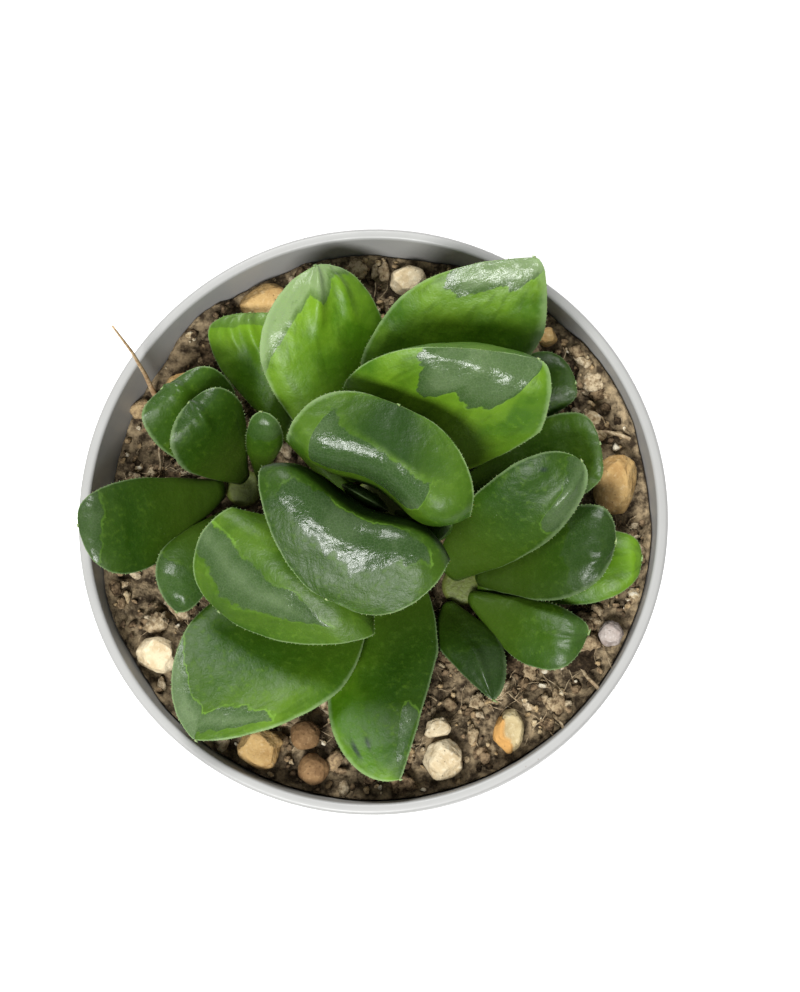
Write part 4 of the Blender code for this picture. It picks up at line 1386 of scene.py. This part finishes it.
class HAWORTHIA_OT_pot(bpy.types.Operator):
    """Turn the pot with its rounded lip and drill the drain holes"""

    bl_idname = "haworthia.pot"
    bl_label = "Pot"

    def execute(self, context):
        settings = context.scene.haworthia_pot
        bm = spun(self.outline(settings.lip / MM), settings.steps)
        pot = add_piece(bm, "moulded_pot", pot_plastic(settings), ("pot",), sharp=POT_SHARP)
        self.drill(context, pot)
        return {"FINISHED"}

    def outline(self, soft):
        """The pot's outline, from the floor inside over the lip to the bottom."""
        top = POT_HEIGHT - soft
        collar = RIM_RADIUS - COLLAR_STEP
        profile = [(0.0, FLOOR), (BASE_RADIUS - WALL - 1.0, FLOOR)]
        profile += arc((BASE_RADIUS - WALL - 0.9, FLOOR + 0.9), 0.9, -90, -10, 5)[1:]
        inner = profile[-1]
        for share in (0.33, 0.66):
            profile.append((inner[0] + (KNEE_RADIUS - inner[0]) * share,
                            inner[1] + (COLLAR_FOOT - inner[1]) * share))
        profile += [(KNEE_RADIUS, COLLAR_FOOT), (RIM_INNER_RADIUS, top)]
        profile += arc((RIM_INNER_RADIUS + soft, top), soft, 180, 90, 5)[1:]
        profile += arc((RIM_RADIUS - soft, top), soft, 90, 0, 5)
        profile += [(RIM_RADIUS, COLLAR_FOOT + 0.4)]
        profile += arc((RIM_RADIUS - 0.3, COLLAR_FOOT + 0.3), 0.3, 0, -90, 3)
        profile += [(collar + 0.1, COLLAR_FOOT), (collar, COLLAR_FOOT - 0.1)]
        for share in (0.35, 0.7):
            profile.append((collar - (collar - BASE_RADIUS) * share,
                            COLLAR_FOOT - (COLLAR_FOOT - HEEL) * share))
        profile += arc((BASE_RADIUS - HEEL, HEEL), HEEL, 5, -90, 6)
        profile += [(BASE_RADIUS - 3.5, 0.0), (BASE_RADIUS - 4.0, HOLLOW), (0.0, HOLLOW)]
        return profile

    def drill(self, context, pot):
        """Drill the drain holes with a boolean and keep the result as the pot's mesh."""
        bm = bmesh.new()
        for index in range(DRAIN_HOLES):
            x, y = on_ring(2 * math.pi * (index + 0.5) / DRAIN_HOLES, DRAIN_CIRCLE_RADIUS)
            bmesh.ops.create_cone(bm, cap_ends=True, segments=40, depth=4 * FLOOR * MM,
                                  radius1=DRAIN_HOLE_RADIUS * MM, radius2=DRAIN_HOLE_RADIUS * MM,
                                  matrix=Matrix.Translation(Vector((x, y, FLOOR / 2)) * MM))
        mesh = bpy.data.meshes.new("drain_drill")
        bm.to_mesh(mesh)
        bm.free()
        drill = bpy.data.objects.new("drain_drill", mesh)
        context.scene.collection.objects.link(drill)
        cut = pot.modifiers.new("drain_holes", "BOOLEAN")
        cut.operation = "DIFFERENCE"
        cut.solver = "EXACT"
        cut.object = drill
        context.view_layer.update()
        finished = pot.evaluated_get(context.evaluated_depsgraph_get())
        drilled = bpy.data.meshes.new_from_object(finished)
        pot.modifiers.clear()
        pot.data = drilled
        drilled.shade_smooth()
        drilled.set_sharp_from_angle(angle=math.radians(POT_SHARP))
        bpy.data.objects.remove(drill, do_unlink=True)


class HAWORTHIA_OT_mix(bpy.types.Operator):
    """Fill the pot with the crumbly potting mix"""

    bl_idname = "haworthia.mix"
    bl_label = "Potting mix"

    def execute(self, context):
        settings = context.scene.haworthia_soil
        edge = wall_radius(SOIL_EDGE) - WALL_GAP
        profile = [(edge * ring / MIX_RINGS, SOIL_EDGE) for ring in range(MIX_RINGS + 1)]
        profile += [(BASE_RADIUS - WALL - 0.3, FLOOR + 0.3), (0.0, FLOOR + 0.3)]
        bm = spun(profile, MIX_STEPS)
        for vert in bm.verts:
            if vert.co.z > (SOIL_EDGE - 0.5) * MM:
                x, y = vert.co.x / MM, vert.co.y / MM
                out = KNEE_RADIUS / max(math.hypot(x, y), 0.01)
                stretch = (wall_radius(soil_height(x * out, y * out)) - WALL_GAP) / edge
                x, y = x * stretch, y * stretch
                vert.co = Vector((x, y, crumbled(x, y))) * MM
        add_piece(bm, "potting_mix", mix_surface(settings), ("soil",))
        return {"FINISHED"}


class HAWORTHIA_OT_stems(bpy.types.Operator):
    """Stand the three short stems in the mix"""

    bl_idname = "haworthia.stems"
    bl_label = "Stems"

    def execute(self, context):
        skin = stem_skin()
        for stem in STEMS:
            profile = [(0.0, STEM_FOOT), (stem.radius - 0.4, STEM_FOOT),
                       (stem.radius, STEM_FOOT + 0.4)]
            for index in range(1, STEM_STEPS):
                height = STEM_FOOT + 0.4 + (stem.top - 1.2 - STEM_FOOT) * index / STEM_STEPS
                scar = LEAF_SCAR * math.sin(index * 2.1)
                profile.append((stem.radius - LEAF_SCAR + scar, height))
            profile += arc((stem.radius - 1.0, stem.top - 1.0), 1.0, 10, 90, 5)
            profile.append((0.0, stem.top))
            bm = spun(profile, 64)
            bmesh.ops.translate(bm, verts=bm.verts, vec=Vector((*stem.middle, 0)) * MM)
            add_piece(bm, f"short_{stem.name}", skin, (stem.name,), sharp=50)
        return {"FINISHED"}


class HAWORTHIA_OT_leaves(bpy.types.Operator):
    """Grow the leaves of the big rosette and of both offsets"""

    bl_idname = "haworthia.leaves"
    bl_label = "Leaves"

    def execute(self, context):
        settings = context.scene.haworthia_leaf
        skin = leaf_skin(settings)
        for form in grown_leaves(settings):
            name = form.leaf.name
            add_piece(form.bm.copy(), f"fleshy_{name}", skin, (name,))
        return {"FINISHED"}


class HAWORTHIA_OT_teeth(bpy.types.Operator):
    """Set the pale teeth on the margins and a small pale spike on each tip"""

    bl_idname = "haworthia.teeth"
    bl_label = "Teeth and tips"

    def execute(self, context):
        forms = grown_leaves(context.scene.haworthia_leaf)
        chance = random.Random(TOOTH_SEED)
        horn = pale_tooth()
        groups = {"big_rosette_teeth": "leaf", "left_offset_teeth": "left_pup",
                  "right_offset_teeth": "right_pup"}
        for name, start in groups.items():
            bm = bmesh.new()
            chosen = [form for form in forms if form.leaf.name.startswith(start)]
            margin_teeth(chosen, bm, chance)
            add_piece(bm, name, horn)
        bm = bmesh.new()
        for form in forms:
            if form.leaf.name.startswith("heart"):
                continue
            tip = form.margins[0.0][-1][1].co / MM
            back = form.margins[0.0][-4][1].co / MM
            towards = (tip - back).normalized() + Vector((0, 0, TIP_RISE))
            size = PUP_TIP_LENGTH if form.leaf.name.startswith("right_pup") else TIP_LENGTH
            add_spike(bm, tip, towards, TIP_RADIUS, size, 7)
        add_piece(bm, "leaf_tips", horn)
        return {"FINISHED"}


class HAWORTHIA_OT_stones(bpy.types.Operator):
    """Lay the stones and the clay pellets on the mix"""

    bl_idname = "haworthia.stones"
    bl_label = "Stones"

    def execute(self, context):
        faces = {kind: stone_face(kind) for kind in STONE_COLOURS}
        for index, stone in enumerate(STONES):
            chips = self.chips(stone, random.Random(CHIP_SEED + index))
            name = stone.name.replace("stone_", "")
            add_piece(self.shaped(stone, chips), f"lying_{name}", faces[stone.kind],
                      (stone.name,))
        return {"FINISHED"}

    def shaped(self, stone, chips):
        """A stone as a closed bmesh; the tan one has a crack with a warmer side."""
        bm = bmesh.new()
        warm = bm.verts.layers.float.new("warm")
        bmesh.ops.create_icosphere(bm, subdivisions=5, radius=1.0)
        turn = Matrix.Rotation(math.radians(stone.turn), 3, "Z")
        bed = seat_height(stone)
        seed = Vector((*stone.middle, 0.0))
        for vert in bm.verts:
            axis = vert.co.copy()
            bump = lumpy(axis, seed, STONE_LUMPS)
            shape = Vector([math.copysign(abs(v) ** stone.block, v) for v in axis])
            for direction, reach in chips:
                over = shape.dot(direction) - reach
                if over > 0:
                    shape -= direction * over * CHIP_DEPTH
            size = [half * v * bump / 2 for half, v in zip(stone.size, shape)]
            if stone.kind == "tan":
                split = axis.x * 0.75 + axis.y * 0.65 + 0.15 + 0.2 * noise.noise(axis * 2.0)
                vert[warm] = held(0.5 - split * 6)
                size = [v * (1 - 0.1 * math.exp(-(split / 0.06) ** 2)) for v in size]
            middle = Vector((*stone.middle, bed + stone.size[2] * STONE_RISE))
            spot = turn @ Vector(size) + middle
            spot.z = max(spot.z, bed - 0.2 + 0.1 * axis.x)
            vert.co = spot * MM
        return bm

    def chips(self, stone, chance):
        """The flat faces broken off a stone: their directions and how far out they lie."""
        if stone.kind == "pellet":
            return []
        flats = [(Vector((0.1, -0.1, 1.0)).normalized(), 0.8)]
        for _ in range(9):
            turn, rise = chance.uniform(0, math.tau), chance.uniform(-0.1, 0.8)
            direction = Vector((math.cos(turn), math.sin(turn), rise)).normalized()
            flats.append((direction, chance.uniform(0.8, 1.0)))
        return flats


def shape_grain(verts, tone_layer, place, size, tone, chance):
    """Make one ball an irregular grain at a place, with its size in three directions."""
    turn = Matrix.Rotation(chance.uniform(0, math.tau), 3, "Z")
    turn = turn @ Matrix.Rotation(chance.uniform(-0.5, 0.5), 3, "X")
    seed = Vector((chance.uniform(0, 50), chance.uniform(0, 50), chance.uniform(0, 50)))
    for vert in verts:
        axis = vert.co.copy()
        bump = lumpy(axis, seed, GRAIN_LUMPS)
        spot = turn @ Vector([a * s * bump for a, s in zip(axis, size)])
        vert.co = (Vector(place) + spot) * MM
        vert[tone_layer] = tone


def grain_heap(grains, subdivisions, chance):
    """All grains of a kind in one bmesh, from (place, size, tone) of each."""
    bm = bmesh.new()
    tone_layer = bm.verts.layers.float.new("tone")
    bmesh.ops.create_icosphere(bm, subdivisions=subdivisions, radius=0.5)
    count = multiply(bm, len(grains))
    for index, (place, size, tone) in enumerate(grains):
        verts = bm.verts[index * count:(index + 1) * count]
        shape_grain(verts, tone_layer, place, size, tone, chance)
    return bm


def open_place(chance, reach, margin):
    """A random place on the mix, margin off the wall, that no stone covers."""
    while True:
        turn = chance.uniform(0, math.tau)
        x, y = on_ring(turn, math.sqrt(chance.random()) * (LITTER_RADIUS - margin))
        if all(math.hypot(x - stone.middle[0], y - stone.middle[1])
               > max(stone.size[:2]) * 0.5 + reach * 0.4 for stone in STONES):
            return x, y


def random_size(chance, sizes, small_share):
    """A random size, from the smaller range of sizes as often as small_share says."""
    low, middle, high = sizes
    if chance.random() < small_share:
        return chance.uniform(low, middle)
    return chance.uniform(middle, high)


class HAWORTHIA_OT_litter(bpy.types.Operator):
    """Scatter clods, grains and fibres over the mix"""

    bl_idname = "haworthia.litter"
    bl_label = "Clods, grains and fibres"

    def execute(self, context):
        settings = context.scene.haworthia_soil
        grown_leaves(context.scene.haworthia_leaf)
        chance = random.Random(LITTER_SEED)
        self.clods(settings, chance)
        self.grains(settings, chance)
        self.fibres(settings, chance)
        return {"FINISHED"}

    def clods(self, settings, chance):
        """Peat clods and crumbs, where they touch no leaf."""
        stops = ((0.0, tuple(settings.dark)), (0.22, (0.10, 0.068, 0.038)),
                 (0.45, (0.25, 0.175, 0.10)), (0.7, tuple(settings.light)),
                 (1.0, (0.60, 0.50, 0.34)))
        peat = mix_grains("peat_clods", stops, 0.12)
        large, small = [], []
        for _ in range(settings.clods):
            size = random_size(chance, CLOD_SIZES, SMALL_CLODS)
            x, y = open_place(chance, size, size * 0.35)
            height = crumbled(x, y) + size * chance.uniform(0.05, 0.25)
            if clear_of_leaves((x, y, height), size * 0.6):
                shape = (size, size * chance.uniform(0.5, 0.95), size * chance.uniform(0.45, 0.75))
                kind = large if size > CLOD_SIZES[1] else small
                kind.append(((x, y, height), shape, chance.random()))
        add_piece(grain_heap(large, 3, chance), "peat_clods", peat)
        add_piece(grain_heap(small, 2, chance), "peat_crumbs", peat)

    def grains(self, settings, chance):
        """Small pale grains, where they touch no leaf, and four that the photograph shows."""
        grit = mix_grains("grit_grains", GRIT_STOPS, 0.25)
        grains = []
        for _ in range(settings.grains):
            size = random_size(chance, GRAIN_SIZES, SMALL_GRAINS)
            x, y = open_place(chance, size, size * 0.4)
            height = crumbled(x, y) + size * 0.3 + chance.uniform(0, 0.5)
            if clear_of_leaves((x, y, height), size * 0.6):
                shape = (size, size * chance.uniform(0.5, 1.0), size * chance.uniform(0.5, 0.9))
                grains.append(((x, y, height), shape, chance.random() ** 1.4))
        for x, y, size, tone in LAID_GRAINS:
            place = (x, y, crumbled(x, y) + size * 0.3)
            grains.append((place, (size, size * 0.8, size * 0.75), tone))
        add_piece(grain_heap(grains, 2, chance), "grit_grains", grit)

    def fibres(self, settings, chance):
        """Thin roots that lie on the crumbs, those that the photo shows first."""
        bm = bmesh.new()
        for start, end, radius in LAID_FIBRES:
            path = []
            for step in range(FIBRE_STEPS + 1):
                share = step / FIBRE_STEPS
                x = start[0] + (end[0] - start[0]) * share + 0.3 * math.sin(5 * share + start[0])
                y = start[1] + (end[1] - start[1]) * share
                path.append((x, y, crumbled(x, y) + 0.9 + 0.5 * math.sin(math.pi * share)))
            tube(bm, path, [radius], 6)
        for _ in range(settings.fibres):
            x, y = open_place(chance, 0.5, 2.0)
            if chance.random() < TUFT_SHARE:
                x, y = [chance.gauss(middle, TUFT_SPREAD) for middle in FIBRE_TUFT]
            heading = chance.uniform(0, math.tau)
            length = chance.uniform(*FIBRE_LENGTHS)
            path = []
            for _ in range(FIBRE_STEPS + 1):
                path.append((x, y, crumbled(x, y) + chance.uniform(0.35, 0.9)))
                heading += chance.uniform(-0.5, 0.5)
                x += math.cos(heading) * length / FIBRE_STEPS
                y += math.sin(heading) * length / FIBRE_STEPS
            if math.hypot(x, y) > FIBRE_REACH:
                continue
            if all(clear_of_leaves(spot, 0.4) for spot in path):
                tube(bm, path, [chance.uniform(*FIBRE_RADII)], 5)
        root = dry_stalk("root_fibre", (0.22, 0.15, 0.08), (0.50, 0.40, 0.25))
        add_piece(bm, "loose_fibres", root)


class HAWORTHIA_OT_straw(bpy.types.Operator):
    """Stand the dry grass stalk in the mix"""

    bl_idname = "haworthia.straw"
    bl_label = "Dry stalk"

    def execute(self, context):
        points = [Vector(point) for point in STRAW_POINTS]
        path = []
        for one, two in zip(points, points[1:]):
            path += [one.lerp(two, step / STRAW_STEPS) for step in range(STRAW_STEPS)]
        path.append(points[-1])
        radii = [STRAW_RADIUS * (1 - STRAW_TAPER * index / len(path))
                 for index in range(len(path))]
        bm = bmesh.new()
        tube(bm, path, radii, 12)
        grass = dry_stalk("dry_grass", (0.36, 0.22, 0.11), (0.62, 0.46, 0.27))
        add_piece(bm, "dry_stalk", grass, ("straw",))
        return {"FINISHED"}


class HAWORTHIA_PT_panel(bpy.types.Panel):
    """The haworthia's pieces, in the order in which they are made"""

    bl_idname = "HAWORTHIA_PT_panel"
    bl_label = "Potted haworthia"
    bl_space_type = "VIEW_3D"
    bl_region_type = "UI"
    bl_category = "Haworthia"

    def draw(self, context):
        for operator in OPERATORS:
            self.layout.operator(operator.bl_idname)
        for name in SETTINGS:
            settings = getattr(context.scene, name)
            box = self.layout.box()
            for key in settings.bl_rna.properties.keys():
                if key not in ("rna_type", "name"):
                    box.prop(settings, key)


OPERATORS = (HAWORTHIA_OT_stage, HAWORTHIA_OT_pot, HAWORTHIA_OT_mix, HAWORTHIA_OT_stems,
             HAWORTHIA_OT_leaves, HAWORTHIA_OT_teeth, HAWORTHIA_OT_stones, HAWORTHIA_OT_litter,
             HAWORTHIA_OT_straw)
SETTINGS = {"haworthia_pot": PotSettings, "haworthia_soil": SoilSettings,
            "haworthia_leaf": LeafSettings, "haworthia_stage": StageSettings}


def register():
    """Add the settings, the operators and the panel to Blender."""
    for name, kind in SETTINGS.items():
        bpy.utils.register_class(kind)
        setattr(bpy.types.Scene, name, PointerProperty(type=kind))
    for kind in (*OPERATORS, HAWORTHIA_PT_panel):
        bpy.utils.register_class(kind)


def unregister():
    """Take them away again."""
    for kind in reversed((*OPERATORS, HAWORTHIA_PT_panel)):
        bpy.utils.unregister_class(kind)
    for name, kind in SETTINGS.items():
        delattr(bpy.types.Scene, name)
        bpy.utils.unregister_class(kind)


def main():
    """Build every piece in turn."""
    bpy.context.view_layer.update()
    register()
    for thing in list(bpy.data.objects):
        if thing.type in ("LIGHT", "CAMERA"):
            bpy.data.objects.remove(thing, do_unlink=True)
    bpy.ops.haworthia.stage()
    bpy.ops.haworthia.pot()
    bpy.ops.haworthia.mix()
    bpy.ops.haworthia.stems()
    bpy.ops.haworthia.leaves()
    bpy.ops.haworthia.teeth()
    bpy.ops.haworthia.stones()
    bpy.ops.haworthia.litter()
    bpy.ops.haworthia.straw()


if __name__ == "__main__":
    main()
